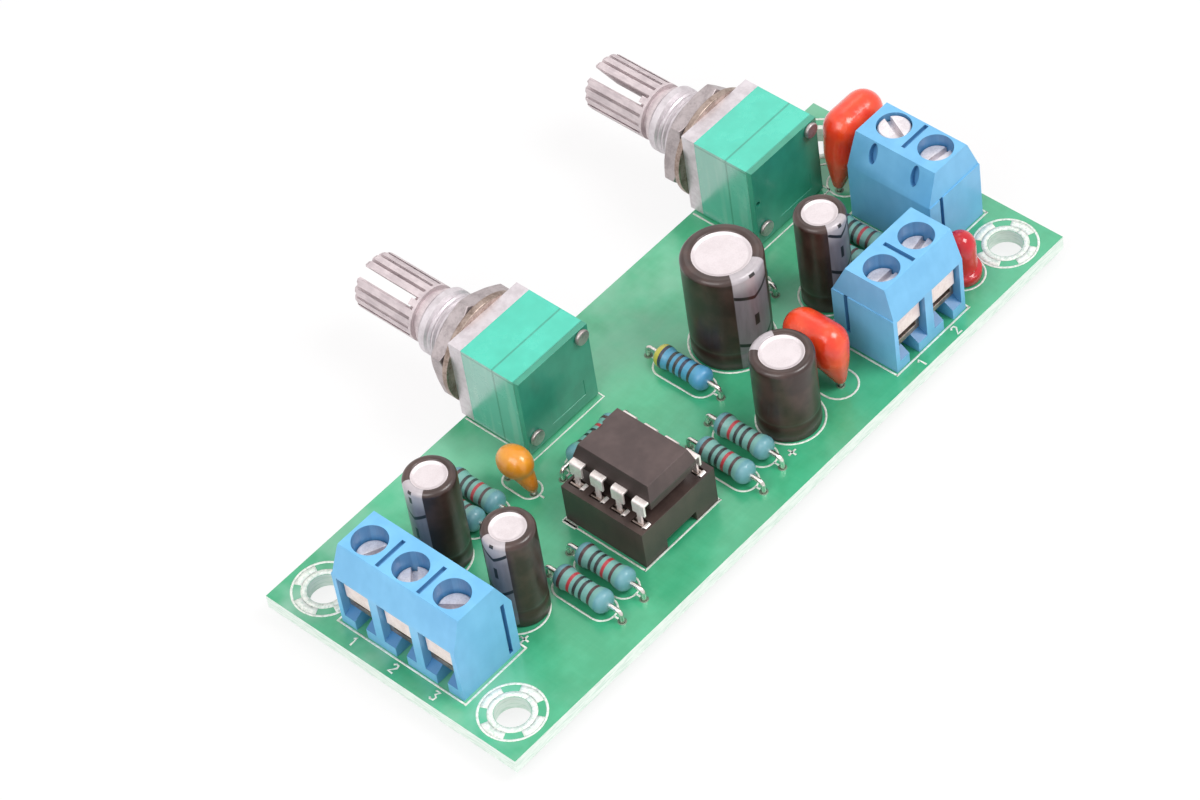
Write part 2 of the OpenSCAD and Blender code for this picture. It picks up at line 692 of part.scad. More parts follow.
// Aluminium can with a sunken disc in its top, open below for the rubber bung
module capacitor_cans() {
    can_z = 0.1;
    top_sink = 0.35;
    color("mistyrose") for (c = CANS) {
        r = c[2] / 2;
        h = c[3];
        from_corner(c.x, c.y) rotate_extrude($fn = fine)
            polygon(concat([[0, bung_h], [r - bung_wall, bung_h], [r - bung_wall, can_z], [r - sleeve_t, can_z]],
                [for (p = can_inner(r, h)) if (p.y > can_z) p], [[r - 0.95, h - sleeve_t],
                [r - 1.05, h - top_sink], [0, h - top_sink]]));
    }
}

module capacitor_bungs() {
    color("black") for (c = CANS) from_corner(c.x, c.y) difference() {
        cylinder(r = c[2] / 2 - bung_wall, h = bung_h, $fn = fine);
        for (p = pair([0, 0], c[5], c[4], lead_d))
            translate([p.x, p.y, -1]) cylinder(d = lead_d, h = bung_h + 2, $fn = 24);
    }
}

// Dipped body: a rounded pillow that runs down to a neck on each lead
module dipped_body(w, t, h, pitch, lean) {
    shoulder = t / 2;
    belly = 0.84 * shoulder;
    belly_z = 0.5 * h;
    hull() for (s = [-1, 1]) {
        translate([s * (w / 2 - shoulder) + lean, 0, h - shoulder]) sphere(r = shoulder, $fn = 24);
        translate([s * (w / 2 - belly), 0, belly_z]) sphere(r = belly, $fn = 24);
    }
    for (s = [-1, 1]) hull() {
        translate([s * (w / 2 - belly), 0, belly_z]) sphere(r = belly, $fn = 24);
        translate([s * (w / 2 - 2 * belly), 0, belly_z - 0.4]) sphere(r = 0.8 * belly, $fn = 16);
        translate([s * pitch / 2, 0, 1]) sphere(r = 0.65, $fn = 16);
    }
}

module film_capacitor(f) {
    color("orangered") from_corner(f.x, f.y) rotate(f[2]) difference() {
        dipped_body(film_w, film_t, f[3], film_pitch, f[4]);
        for (s = [-1, 1]) translate([s * film_pitch / 2, 0, 0])
            cylinder(d = lead_d, h = film_lead_top, $fn = 24);
    }
}

module ceramic_capacitor() {
    disc_z = 3.3;
    color("orange") from_corner(ceramic_at.x, ceramic_at.y) rotate(90) difference() {
        union() {
            hull() translate([0.2, 0, disc_z]) scale([1, 0.8, 0.85]) sphere(r = 2, $fn = 32);
            for (s = [-1, 1]) hull() {
                translate([s * 0.6 + 0.2, 0, disc_z - 0.5]) scale([1, 1, 0.9]) sphere(r = 1.2, $fn = 24);
                translate([s * (ceramic_pitch / 2 - 0.15), 0, 1.5 + 0.3 * s]) sphere(r = 0.7, $fn = 16);
                translate([s * ceramic_pitch / 2, 0, 1 + 0.3 * s]) sphere(r = 0.45, $fn = 16);
            }
        }
        for (s = [-1, 1]) translate([s * ceramic_pitch / 2, 0, 0])
            cylinder(d = lead_d, h = ceramic_lead_top, $fn = 24);
    }
}

module indicator_lens() {
    r = lens_d / 2;
    base = 0.05;
    color("red") from_corner(lens_at.x, lens_at.y) difference() {
        rotate_extrude($fn = fine) polygon(concat(
            [[0, base], [r + 0.4, base], [r + 0.4, base + 1], [r, base + 1]],
            arc([0, lens_h - r], r, 0, 90, 10)));
        for (s = [-1, 1]) translate([0, s * lens_pitch / 2, 0])
            cylinder(d = lead_d, h = lens_lead_top, $fn = 24);
    }
}

// Body with a larger cap at each end
module resistor_bodies() {
    r = resistor_d / 2;
    l = resistor_l / 2;
    color("lightsteelblue") for (p = RESISTORS)
        from_corner(p.x, p.y, resistor_z) rotate([0, 90, p[2]]) rotate_extrude($fn = 32) polygon(concat(
            [[0, -l], [0.45, -l]], arc([r - 0.5, -l + 0.5], 0.5, -90, 0, 3),
            [[r, -l + 1.3], [r - 0.15, -l + 1.7], [r - 0.15, l - 1.7], [r, l - 1.3]],
            arc([r - 0.5, l - 0.5], 0.5, 0, 90, 3), [[0.45, l], [0, l]]));
}

module lead_down(x, top) {
    translate([x, 0, -board_t - tail_l]) cylinder(d = lead_d, h = board_t + tail_l + top, $fn = 24);
}

module component_leads() {
    color("silver") {
        for (c = CANS) from_corner(c.x, c.y) rotate(c[5]) for (s = [-1, 1])
            lead_down(s * c[4] / 2, bung_h);
        for (f = FILMS) from_corner(f.x, f.y) rotate(f[2]) for (s = [-1, 1])
            lead_down(s * film_pitch / 2, film_lead_top);
        from_corner(ceramic_at.x, ceramic_at.y) rotate(90) for (s = [-1, 1])
            lead_down(s * ceramic_pitch / 2, ceramic_lead_top);
        from_corner(lens_at.x, lens_at.y) rotate(90) for (s = [-1, 1])
            lead_down(s * lens_pitch / 2, lens_lead_top);
        for (p = RESISTORS) from_corner(p.x, p.y) rotate(p[2]) for (s = [-1, 1]) {
            lead_down(s * resistor_pitch / 2, resistor_z);
            translate([s * resistor_pitch / 2, 0, resistor_z]) sphere(d = lead_d, $fn = 24);
            translate([s > 0 ? resistor_l / 2 : -resistor_pitch / 2, 0, resistor_z]) rotate([0, 90, 0])
                cylinder(d = lead_d, h = (resistor_pitch - resistor_l) / 2, $fn = 24);
        }
    }
}

circuit_board();
solder_joints();
terminal_block(input_block_at);  // input_block
contacts(input_block_at);  // input_contacts
clamp_screw(input_block_at, 0);  // input_screw_1
clamp_screw(input_block_at, 1);  // input_screw_2
clamp_screw(input_block_at, 2);  // input_screw_3
clamp_leaf(input_block_at, 0);  // input_leaf_1
clamp_leaf(input_block_at, 1);  // input_leaf_2
clamp_leaf(input_block_at, 2);  // input_leaf_3
terminal_block(power_block_at);  // power_block
contacts(power_block_at);  // power_contacts
clamp_screw(power_block_at, 0);  // power_screw_1
clamp_screw(power_block_at, 1);  // power_screw_2
clamp_leaf(power_block_at, 0);  // power_leaf_1
clamp_leaf(power_block_at, 1);  // power_leaf_2
terminal_block(output_block_at);  // output_block
contacts(output_block_at);  // output_contacts
clamp_screw(output_block_at, 0);  // output_screw_1
clamp_screw(output_block_at, 1);  // output_screw_2
clamp_leaf(output_block_at, 0);  // output_leaf_1
clamp_leaf(output_block_at, 1);  // output_leaf_2
front_plate(volume_u);  // volume_front_plate
washer(volume_u);  // volume_washer
nut(volume_u, 22.5);  // volume_nut
control_shaft(volume_u, 60);  // volume_shaft
rotors(volume_u);  // volume_rotors
gang_case(volume_u, rear_top_y, -plate_t, front_wafer_y);  // volume_front_case
gang_case(volume_u, rear_y, rear_top_y, rear_wafer_y);  // volume_rear_case
back_cover(volume_u);  // volume_back_cover
rivets(volume_u);  // volume_rivets
front_plate(filter_u);  // filter_front_plate
washer(filter_u);  // filter_washer
nut(filter_u, 47);  // filter_nut
control_shaft(filter_u, 60);  // filter_shaft
rotors(filter_u);  // filter_rotors
gang_case(filter_u, rear_top_y, -plate_t, front_wafer_y);  // filter_front_case
gang_case(filter_u, rear_y, rear_top_y, rear_wafer_y);  // filter_rear_case
back_cover(filter_u);  // filter_back_cover
rivets(filter_u);  // filter_rivets
control_wafers();
control_pins();
amplifier_chip();
chip_leads();
chip_socket();
socket_contacts();
capacitor_sleeve(CANS[0]);  // capacitor_sleeve_1
capacitor_sleeve(CANS[1]);  // capacitor_sleeve_2
capacitor_sleeve(CANS[2]);  // capacitor_sleeve_3
capacitor_sleeve(CANS[3]);  // capacitor_sleeve_4
capacitor_sleeve(CANS[4]);  // capacitor_sleeve_5
capacitor_cans();
capacitor_bungs();
film_capacitor(FILMS[0]);  // film_capacitor_1
film_capacitor(FILMS[1]);  // film_capacitor_2
ceramic_capacitor();
indicator_lens();
resistor_bodies();
component_leads();
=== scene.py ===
import math

import bpy
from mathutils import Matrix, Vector
from mathutils.bvhtree import BVHTree


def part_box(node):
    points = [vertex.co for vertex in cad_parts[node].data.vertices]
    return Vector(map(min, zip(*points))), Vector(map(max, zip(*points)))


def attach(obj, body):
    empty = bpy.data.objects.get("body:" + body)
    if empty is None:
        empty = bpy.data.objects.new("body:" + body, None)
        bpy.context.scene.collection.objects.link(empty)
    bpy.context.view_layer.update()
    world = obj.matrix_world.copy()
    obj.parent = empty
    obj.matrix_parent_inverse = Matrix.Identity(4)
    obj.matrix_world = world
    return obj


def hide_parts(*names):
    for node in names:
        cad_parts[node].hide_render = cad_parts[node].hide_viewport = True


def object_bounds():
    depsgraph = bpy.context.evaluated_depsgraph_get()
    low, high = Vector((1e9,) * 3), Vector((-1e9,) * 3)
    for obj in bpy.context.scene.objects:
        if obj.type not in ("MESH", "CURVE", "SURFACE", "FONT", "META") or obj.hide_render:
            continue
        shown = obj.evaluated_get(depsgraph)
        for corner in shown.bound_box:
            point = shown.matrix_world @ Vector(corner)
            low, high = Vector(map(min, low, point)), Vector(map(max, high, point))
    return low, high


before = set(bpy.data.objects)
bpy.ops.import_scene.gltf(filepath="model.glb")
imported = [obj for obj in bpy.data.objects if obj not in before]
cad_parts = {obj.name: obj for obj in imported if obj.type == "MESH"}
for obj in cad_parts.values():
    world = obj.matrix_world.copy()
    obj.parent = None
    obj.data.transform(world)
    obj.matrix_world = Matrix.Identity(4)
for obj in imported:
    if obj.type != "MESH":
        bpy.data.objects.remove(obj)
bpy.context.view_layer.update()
print("frame loaded:", len(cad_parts), "nodes")

mm = 0.001
boardLength = 78
boardWidth = 31.2
boardTop = 1.6


def leaveEdit():
    bpy.ops.object.mode_set(mode="OBJECT")


def deselect():
    active = bpy.context.view_layer.objects.active
    if active and active.mode == "EDIT":
        leaveEdit()
    bpy.ops.object.select_all(action="DESELECT")


def pick(*pieces):
    deselect()
    for piece in pieces:
        piece.select_set(True)
    bpy.context.view_layer.objects.active = pieces[0]


def editAll(piece):
    pick(piece)
    bpy.ops.object.mode_set(mode="EDIT")
    bpy.ops.mesh.select_all(action="SELECT")


def choose(piece, kind, test):
    # leaves edit mode on, with the faces, edges or vertices that pass the test selected
    pick(piece)
    bpy.ops.object.mode_set(mode="EDIT")
    bpy.ops.mesh.select_mode(type=kind)
    bpy.ops.mesh.select_all(action="DESELECT")
    leaveEdit()
    mesh = piece.data
    if kind == "FACE":
        for face in mesh.polygons:
            face.select = test(face.center, face.normal)
    elif kind == "EDGE":
        for edge in mesh.edges:
            a, b = (mesh.vertices[i].co for i in edge.vertices)
            edge.select = test((a + b) / 2, (b - a).normalized())
    else:
        for vertex in mesh.vertices:
            vertex.select = test(vertex.co, vertex.normal)
    bpy.ops.object.mode_set(mode="EDIT")


def modify(piece, kind, **settings):
    pick(piece)
    added = piece.modifiers.new(kind.lower(), kind)
    for key, value in settings.items():
        setattr(added, key, value)
    bpy.ops.object.modifier_apply(modifier=added.name)


def smooth(piece, angle=40, weighted=False):
    pick(piece)
    bpy.ops.object.shade_smooth_by_angle(angle=math.radians(angle))
    if weighted:
        modify(piece, "WEIGHTED_NORMAL", keep_sharp=True, weight=60)


def roundEdges(piece, edge, segments, angle):
    modify(piece, "BEVEL", width=edge, segments=segments, limit_method="ANGLE",
           angle_limit=math.radians(angle), harden_normals=False)
    smooth(piece, 42, weighted=True)


def bake(piece, scale=1, place=(0, 0, 0), turn=0):
    pick(piece)
    piece.scale = (scale, scale, scale)
    piece.rotation_euler = (0, 0, math.radians(turn))
    piece.location = place
    bpy.ops.object.transform_apply(location=True, rotation=True, scale=True)


def seat(piece, u, v, z=0, turn=0):
    # pieces are modelled in millimetres; u and v run from the board's left lower corner, z from its top
    bake(piece, mm, ((u - boardLength / 2) * mm, (v - boardWidth / 2) * mm, (z + boardTop) * mm), turn)


def twin(piece, name):
    made = bpy.data.objects.new(name, piece.data.copy())
    bpy.context.collection.objects.link(made)
    return made


def drop(piece):
    bpy.data.objects.remove(piece)


def joined(pieces, name):
    pick(*pieces)
    bpy.ops.object.join()
    pieces[0].name = name
    return pieces[0]


def settle(piece, finish, slot, *nodes, body="board"):
    piece.data.materials.clear()
    piece.data.materials.append(finish.material)
    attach(piece, body)
    if nodes:
        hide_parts(*nodes)


def turned(name, outline, sides=48):
    # a disc grown upwards ring by ring; outline holds (radius, height) from the base to the top
    deselect()
    radius, height = outline[0]
    bpy.ops.mesh.primitive_circle_add(vertices=sides, radius=radius, fill_type="NGON", location=(0, 0, height))
    piece = bpy.context.object
    piece.name = name
    bpy.ops.object.transform_apply(location=True)
    editAll(piece)
    for nextRadius, nextHeight in outline[1:]:
        bpy.ops.mesh.extrude_region_move(TRANSFORM_OT_translate={"value": (0, 0, nextHeight - height)})
        share = nextRadius / radius
        bpy.ops.transform.resize(value=(share, share, 1), center_override=(0, 0, nextHeight))
        radius, height = nextRadius, nextHeight
    bpy.ops.mesh.select_all(action="SELECT")
    bpy.ops.mesh.normals_make_consistent(inside=False)
    leaveEdit()
    return piece


def arc(x, y, radius, start, end, steps):
    points = []
    for i in range(steps + 1):
        angle = math.radians(start + (end - start) * i / steps)
        points.append((x + radius * math.cos(angle), y + radius * math.sin(angle)))
    return points


def wires(name, paths, thickness, resolution=3):
    # round wires along lists of (x, y, z) points, made into one mesh
    deselect()
    curve = bpy.data.curves.new(name, "CURVE")
    curve.dimensions = "3D"
    curve.bevel_depth = thickness / 2
    curve.bevel_resolution = resolution
    curve.use_fill_caps = True
    for path in paths:
        spline = curve.splines.new("POLY")
        spline.points.add(len(path) - 1)
        for point, place in zip(spline.points, path):
            point.co = (place[0], place[1], place[2], 1)
            point.radius = place[3] if len(place) > 3 else 1
    piece = bpy.data.objects.new(name, curve)
    bpy.context.collection.objects.link(piece)
    pick(piece)
    bpy.ops.object.convert(target="MESH")
    return bpy.context.object


def ribbons(name, lines, height):
    # flat printed lines; each is (points, width)
    deselect()
    curve = bpy.data.curves.new(name, "CURVE")
    curve.dimensions = "3D"
    curve.twist_mode = "Z_UP"
    curve.extrude = 0.5
    for points, width in lines:
        spline = curve.splines.new("POLY")
        spline.points.add(len(points) - 1)
        for point, place in zip(spline.points, points):
            point.co = (place[0], place[1], height, 1)
            point.radius = width
            point.tilt = math.pi / 2
    piece = bpy.data.objects.new(name, curve)
    bpy.context.collection.objects.link(piece)
    pick(piece)
    bpy.ops.object.convert(target="MESH")
    piece = bpy.context.object
    editAll(piece)
    bpy.ops.mesh.normals_make_consistent(inside=False)
    leaveEdit()
    if piece.data.polygons[0].normal.z < 0:
        editAll(piece)
        bpy.ops.mesh.flip_normals()
        leaveEdit()
    modify(piece, "SOLIDIFY", thickness=height, offset=-1)
    return piece


def carve(piece, cutter):
    modify(piece, "BOOLEAN", object=cutter, operation="DIFFERENCE", solver="EXACT")
    drop(cutter)


def rod(radius, depth, place, direction, sides=32):
    # a cutter along a direction, in millimetres of the part frame
    deselect()
    bpy.ops.mesh.primitive_cylinder_add(vertices=sides, radius=radius, depth=depth)
    made = bpy.context.object
    made.rotation_euler = Vector(direction).to_track_quat("Z", "Y").to_euler()
    made.location = place
    bpy.ops.object.transform_apply(location=True, rotation=True)
    return made


def remember(piece, top=0):
    # each vertex keeps its place on the bare piece, for patterns that follow it
    spots = piece.data.attributes.new("spot", "FLOAT_VECTOR", "POINT")
    spots.data.foreach_set("vector", [c for vertex in piece.data.vertices
                                      for c in (vertex.co.x, vertex.co.y, vertex.co.z - top)])


def cadCopy(node, name):
    # a copy of a node in millimetres, with its loose triangles joined into whole faces
    piece = bpy.data.objects.new(name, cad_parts[node].data.copy())
    bpy.context.collection.objects.link(piece)
    bake(piece, 1 / mm)
    editAll(piece)
    bpy.ops.mesh.remove_doubles(threshold=0.003)
    bpy.ops.mesh.dissolve_limited(angle_limit=math.radians(1.5))
    leaveEdit()
    return piece


def feelRecesses(piece, reach=5.0, rays=90):
    # each face keeps the share of its outlook that the piece itself blocks, for the painted shade in recesses
    mesh = piece.data
    tree = BVHTree.FromPolygons([vertex.co for vertex in mesh.vertices],
                                [tuple(face.vertices) for face in mesh.polygons])
    fan = []
    for i in range(rays):
        level = 1 - 2 * (i + 0.5) / rays
        turn = i * math.radians(137.5)
        wide = math.sqrt(1 - level * level)
        fan.append(Vector((wide * math.cos(turn), wide * math.sin(turn), level)))
    shares = []
    for face in mesh.polygons:
        ahead = [ray for ray in fan if ray.dot(face.normal) > 0.2]
        start = face.center + face.normal * 0.03
        shares.append(sum(tree.ray_cast(start, ray, reach)[0] is not None for ray in ahead) / len(ahead))
    mesh.attributes.new("paintedRecessShade", "FLOAT", "FACE").data.foreach_set("value", shares)


def roundOff(piece, edge, finish, slot, node, body="board", segments=2, angle=32, recesses=False):
    # the last steps of a piece that was copied from its node
    roundEdges(piece, edge, segments, angle)
    if recesses:
        feelRecesses(piece)
    bake(piece, mm)
    settle(piece, finish, slot, node, body=body)


def roundedCopy(node, name, finish, slot, edge, **more):
    roundOff(cadCopy(node, name), edge, finish, slot, node, **more)


def rgb(red, green, blue):
    # the colour as read off a picture, 0 to 255
    linear = []
    for value in (red, green, blue):
        value /= 255
        linear.append(value / 12.92 if value <= 0.04045 else ((value + 0.055) / 1.055) ** 2.4)
    return (*linear, 1)


class Wire:
    # an output socket that takes part in sums; each sum adds its Math node
    def __init__(self, finish, socket):
        self.finish = finish
        self.socket = socket

    def sum(self, operation, *others, swap=False):
        values = [self, *others]
        if swap:
            values.reverse()
        return self.finish.node("Math", {"operation": operation}, dict(enumerate(values)))

    def __add__(self, other):
        return self.sum("ADD", other)

    def __sub__(self, other):
        return self.sum("SUBTRACT", other)

    def __rsub__(self, other):
        return self.sum("SUBTRACT", other, swap=True)

    def __mul__(self, other):
        return self.sum("MULTIPLY", other)

    def __gt__(self, other):
        return self.sum("GREATER_THAN", other)

    def __lt__(self, other):
        return self.sum("LESS_THAN", other)

    def __abs__(self):
        return self.sum("ABSOLUTE")

    __radd__ = __add__
    __rmul__ = __mul__


class Finish:
    def __init__(self, name, world=None, **fixed):
        self.material = world or bpy.data.materials.new(name)
        self.material.use_nodes = True
        self.nodes = self.material.node_tree.nodes
        self.links = self.material.node_tree.links
        self.shader = self.nodes["Background" if world else "Principled BSDF"]
        for key, value in fixed.items():
            self.shader.inputs[key.replace("_", " ")].default_value = value
        if not world:
            self.object = self.node("TexCoord", output="Object")

    def white(self):
        # 1 for what the camera sees directly, mirrored or through the lens
        rays = self.node("LightPath", output="Is Camera Ray")
        outputs = rays.socket.node.outputs
        return rays + Wire(self, outputs["Is Glossy Ray"]) + Wire(self, outputs["Is Transmission Ray"])

    def node(self, kind, settings=None, inputs=None, output=0):
        made = self.nodes.new("ShaderNode" + kind)
        for key, value in (settings or {}).items():
            setattr(made, key, value)
        for key, value in (inputs or {}).items():
            self.feed(made.inputs[key], value)
        return Wire(self, made.outputs[output])

    def feed(self, socket, value):
        if isinstance(value, Wire):
            self.links.new(value.socket, socket)
        else:
            socket.default_value = value

    def surface(self, **values):
        for key, value in values.items():
            self.feed(self.shader.inputs[key.replace("_", " ")], value)

    def noise(self, size, detail=2, roughness=0.5, at=None, stretch=(1, 1, 1)):
        # size is one blotch in millimetres
        at = at or self.object
        if stretch != (1, 1, 1):
            at = self.node("Mapping", {}, {"Vector": at, "Scale": stretch})
        return self.node("TexNoise", {}, {"Vector": at, "Scale": 1 / (size * mm), "Detail": detail,
                                          "Roughness": roughness})

    def blend(self, share, first, second):
        return self.node("Mix", {"data_type": "RGBA"}, {0: share, 6: first, 7: second}, output=2)

    def soften(self, value, low, high):
        # 0 below low, 1 above high, smooth between
        return self.node("MapRange", {"interpolation_type": "SMOOTHSTEP"},
                         {"Value": value, "From Min": low, "From Max": high})

    def bump(self, height, depth, strength=1.0):
        # depth in millimetres
        return self.node("Bump", {}, {"Height": height, "Distance": depth * mm, "Strength": strength},
                         output="Normal")

    def parts(self, vector):
        split = self.node("SeparateXYZ", {}, {"Vector": vector})
        return [Wire(self, split.socket.node.outputs[i]) for i in range(3)]

    def facing(self):
        # x, y and z of the surface's normal
        return self.parts(self.node("NewGeometry", output="Normal"))

    def base(self):
        # the colour that feeds the shader so far
        return Wire(self, self.shader.inputs["Base Color"].links[0].from_socket)


def plastic(name, colour, shade, roughness=0.3, grain=0.08, depth=0.006, **fixed):
    # moulded plastic: cloudy tone, fine grain, faint flow marks and a handled gloss
    look = Finish(name, **fixed)
    cloud = look.noise(3.5, 3, 0.55)
    fine = look.noise(grain, 2, 0.6)
    flow = look.noise(1.1, 2, 0.5, stretch=(1, 1, 0.25))
    tone = look.soften(cloud * 0.7 + flow * 0.3, 0.34, 0.68)
    look.surface(Base_Color=look.blend(tone, rgb(*shade), rgb(*colour)),
                 Roughness=roughness - 0.06 + cloud * 0.1 + fine * 0.03,
                 Normal=look.bump(fine + flow * 0.5, depth))
    return look


def metal(name, colour, shade, roughness=0.28, stretch=(1, 1, 1), size=0.25, depth=0.004, metallic=1.0):
    # drawn or plated metal: streaks along the work, dull patches and small marks
    look = Finish(name, Metallic=metallic)
    streak = look.noise(size, 3, 0.6, stretch=stretch)
    patch = look.noise(1.4, 4, 0.6)
    mark = look.soften(look.noise(0.35, 4, 0.7), 0.58, 0.72)
    tone = look.soften(patch * 0.6 + streak * 0.4, 0.36, 0.62)
    look.surface(Base_Color=look.blend(tone, rgb(*shade), rgb(*colour)),
                 Roughness=roughness + patch * 0.14 - 0.05 + mark * 0.12,
                 Normal=look.bump(streak + mark * 0.3, depth))
    return look


def housingFinish():
    # painted shade: the sills and the foot of each opening are painted a deeper blue than the lit walls, as shade
    # falls there
    look = plastic("blueHousing", (120, 192, 235), (108, 180, 225), 0.36, Coat_Weight=0.25, Coat_Roughness=0.2)
    z = look.parts(look.object)[2]
    lying = look.soften(look.facing()[2], 0.25, 0.6)
    paintedSillShade = lying * (1 - look.soften(z, 5 * mm, 5.6 * mm))
    # painted shade: faces in recesses darken by the share of their outlook that the housing blocks
    paintedRecessShade = look.soften(look.node("Attribute", {"attribute_name": "paintedRecessShade"}, output="Fac"), 0.35, 0.85)
    base = look.blend(paintedRecessShade * 0.75, look.base(), rgb(52, 102, 158))
    look.surface(Base_Color=look.blend(paintedSillShade * 0.85, base, rgb(50, 112, 166)))
    return look


def chipFinish():
    # ground top; painted shade darkens the side walls where the leads come out
    look = plastic("chipMould", (90, 75, 73), (72, 59, 58), 0.5, grain=0.05, depth=0.014)
    # painted shade on the walls that face the leads
    paintedWallShade = look.soften(abs(look.facing()[0]), 0.5, 0.8)
    look.surface(Base_Color=look.blend(paintedWallShade * 0.75, look.base(), rgb(48, 36, 34)))
    return look


def boardFinish():
    # green mask over laminate; the sawn edge and the hole walls show the bare laminate
    look = Finish("boardMask", Coat_Roughness=0.24)
    x, y = look.parts(look.object)[:2]
    masked = abs(look.facing()[2]) > 0.5
    pool = look.noise(9, 3, 0.5)
    ripple = look.noise(1.6, 3, 0.5)
    green = look.blend(look.soften(pool * 0.7 + ripple * 0.3, 0.36, 0.64), rgb(46, 160, 112), rgb(62, 178, 130))
    thread = look.noise(0.35, 2, 0.5, stretch=(0.06, 1, 1)) + look.noise(0.35, 2, 0.5, stretch=(1, 0.06, 1))
    green = look.blend(look.soften(thread, 0.9, 1.25) * 0.05, green, rgb(120, 200, 150))
    # painted glare: a pale haze of reflected light along the controls and over the left end
    haze = look.soften(y, 2 * mm, 12 * mm) * 0.16 + look.soften(0 - x, 28 * mm, 37 * mm) * 0.22
    haze = haze * look.soften(look.noise(7, 3, 0.5), 0.36, 0.6) + 0.02
    green = look.blend(haze, green, rgb(206, 232, 220))
    layer = look.noise(0.16, 2, 0.6, stretch=(0.12, 0.12, 1))
    edge = look.blend(look.soften(layer, 0.3, 0.6), rgb(206, 227, 214), rgb(231, 242, 234))
    look.surface(Base_Color=look.blend(masked, edge, green),
                 Roughness=0.62 - masked * 0.36 + ripple * 0.06,
                 Coat_Weight=masked * 0.7,
                 Normal=look.bump((ripple + thread * 0.08) * masked + layer * (1 - masked) * 0.6, 0.02, 0.5))
    return look


def caseFinish(name, colour, shade, seams):
    # two moulded rings; the joints between them and a moulding line on the sides stay darker
    look = plastic(name, colour, shade, 0.26, Coat_Roughness=0.2, Coat_IOR=1.9)
    y, z = look.parts(look.object)[1:]
    side = abs(look.facing()[0]) > 0.5
    line = 0
    for seam in seams:
        line = 1 - (1 - line) * look.soften(abs(y - seam), 0.04 * mm, 0.16 * mm)
    level = (control["axis"] + boardTop + 4.56) * mm
    rim = (1 - look.soften(abs(z - level), 0.07 * mm, 0.15 * mm)) * side
    line = 1 - (1 - line) * (1 - rim)
    # pale drag marks of the mould run down the sides
    drag = look.soften(look.noise(1.5, 2, 0.5, stretch=(1, 1, 0.14)), 0.52, 0.66) * side
    # painted shade: the sides are toned darker and greyer than the top
    base = look.blend(side * 0.5, look.base(), rgb(114, 162, 144))
    worn = look.blend(drag * 0.22, base, rgb(186, 222, 206))
    look.surface(Base_Color=look.blend(line * 0.5, worn, rgb(24, 104, 82)), Coat_Weight=0.3 + side * 0.7)
    return look


def solderFinish():
    # bright tin that ends dull and greenish where it shows in the holes on the top side
    look = Finish("solderTin")
    z = look.parts(look.object)[2]
    top = z > 1.5 * mm
    cool = look.noise(0.5, 4, 0.6)
    frost = look.noise(0.12, 2, 0.6)
    tin = look.blend(look.soften(cool, 0.38, 0.62), rgb(176, 172, 170), rgb(222, 219, 217))
    look.surface(Base_Color=look.blend(top, tin, rgb(116, 140, 118)),
                 Metallic=1 - top * 0.75,
                 Roughness=0.2 + frost * 0.12 + top * 0.25,
                 Normal=look.bump(cool + frost * 0.2, 0.03, 0.6))
    return look


def sleeveFinish(name, chevronAt, barAt, period):
    # dark film with one light stripe along +X of the bare piece; depths count down from the top in mm
    look = Finish(name, Coat_Roughness=0.14)
    spot = look.node("Attribute", {"attribute_name": "spot"}, output="Vector")
    x, y, z = look.parts(spot)
    depth = 0 - z
    side = abs(y.sum("ARCTAN2", x) * (180 / math.pi))
    stripe = 1 - look.soften(side, 30.5, 32)
    fold = (depth + (period * 3 - chevronAt - 1)).sum("MODULO", period)
    chevron = 1 - look.soften(abs(fold - period + 1 + side * 0.03), 0.17, 0.25)
    step = (depth + (period * 3 - barAt - 1.2)).sum("MODULO", period)
    bar = (1 - look.soften(side, 3.6, 4.6)) * (1 - look.soften(abs(step - period + 1.2), 0.66, 0.76))
    square = (side < 5) * (abs(depth - 0.32) < 0.17)
    drawn = look.noise(0.5, 3, 0.6, stretch=(1, 1, 0.15))
    haze = look.noise(2.2, 3, 0.5)
    dark = look.blend(look.soften(haze, 0.35, 0.7), rgb(50, 31, 26), rgb(72, 50, 44))
    # the printed stripe is light grey; a painted reflection of the sky makes it paler near the top
    light = look.blend(look.soften(depth, 0.6, 2.6), rgb(190, 182, 186), rgb(124, 116, 122))
    light = look.blend(look.soften(drawn, 0.3, 0.7) * 0.3, light, rgb(160, 152, 158))
    printed = look.blend(stripe, dark, light)
    marks = 1 - (1 - chevron * (depth > 0.7)) * (1 - bar * (depth > 0.9)) * (1 - square)
    printed = look.blend(stripe * marks, printed, rgb(38, 32, 33))
    look.surface(Base_Color=printed, Roughness=0.3 + haze * 0.12,
                 Coat_Weight=0.12 + stripe * 0.1 + (1 - look.soften(depth, 0.2, 0.7)) * 0.3,
                 Normal=look.bump(haze + drawn * 0.25, 0.03, 0.6))
    return look


def resistorFinish(name, bands, body=((116, 176, 168), (98, 160, 172)), swapCaps=None):
    # lacquered body with painted bands; bands hold (place along the body, half width, colour)
    look = Finish(name, Coat_Roughness=0.06)
    spot = look.node("Attribute", {"attribute_name": "spot"}, output="Vector")
    x = look.parts(spot)[0]
    brush = look.noise(0.5, 2, 0.5, at=spot)
    wobble = x + (brush - 0.5) * 0.12
    cap = look.soften(abs(x), 2.0, 2.35)
    lacquer = look.blend(cap, rgb(*body[0]), rgb(*body[1]))
    if swapCaps:
        lacquer = look.blend(x > 2.2, lacquer, rgb(*swapCaps))
    for place, half, colour in bands:
        band = 1 - look.soften(abs(wobble - place), half - 0.04, half + 0.04)
        lacquer = look.blend(band, lacquer, rgb(*colour))
    look.surface(Base_Color=look.blend(brush * 0.1, lacquer, rgb(196, 214, 208)),
                 Roughness=0.2 + brush * 0.12, Coat_Weight=0.5,
                 Normal=look.bump(brush, 0.03, 0.6))
    return look


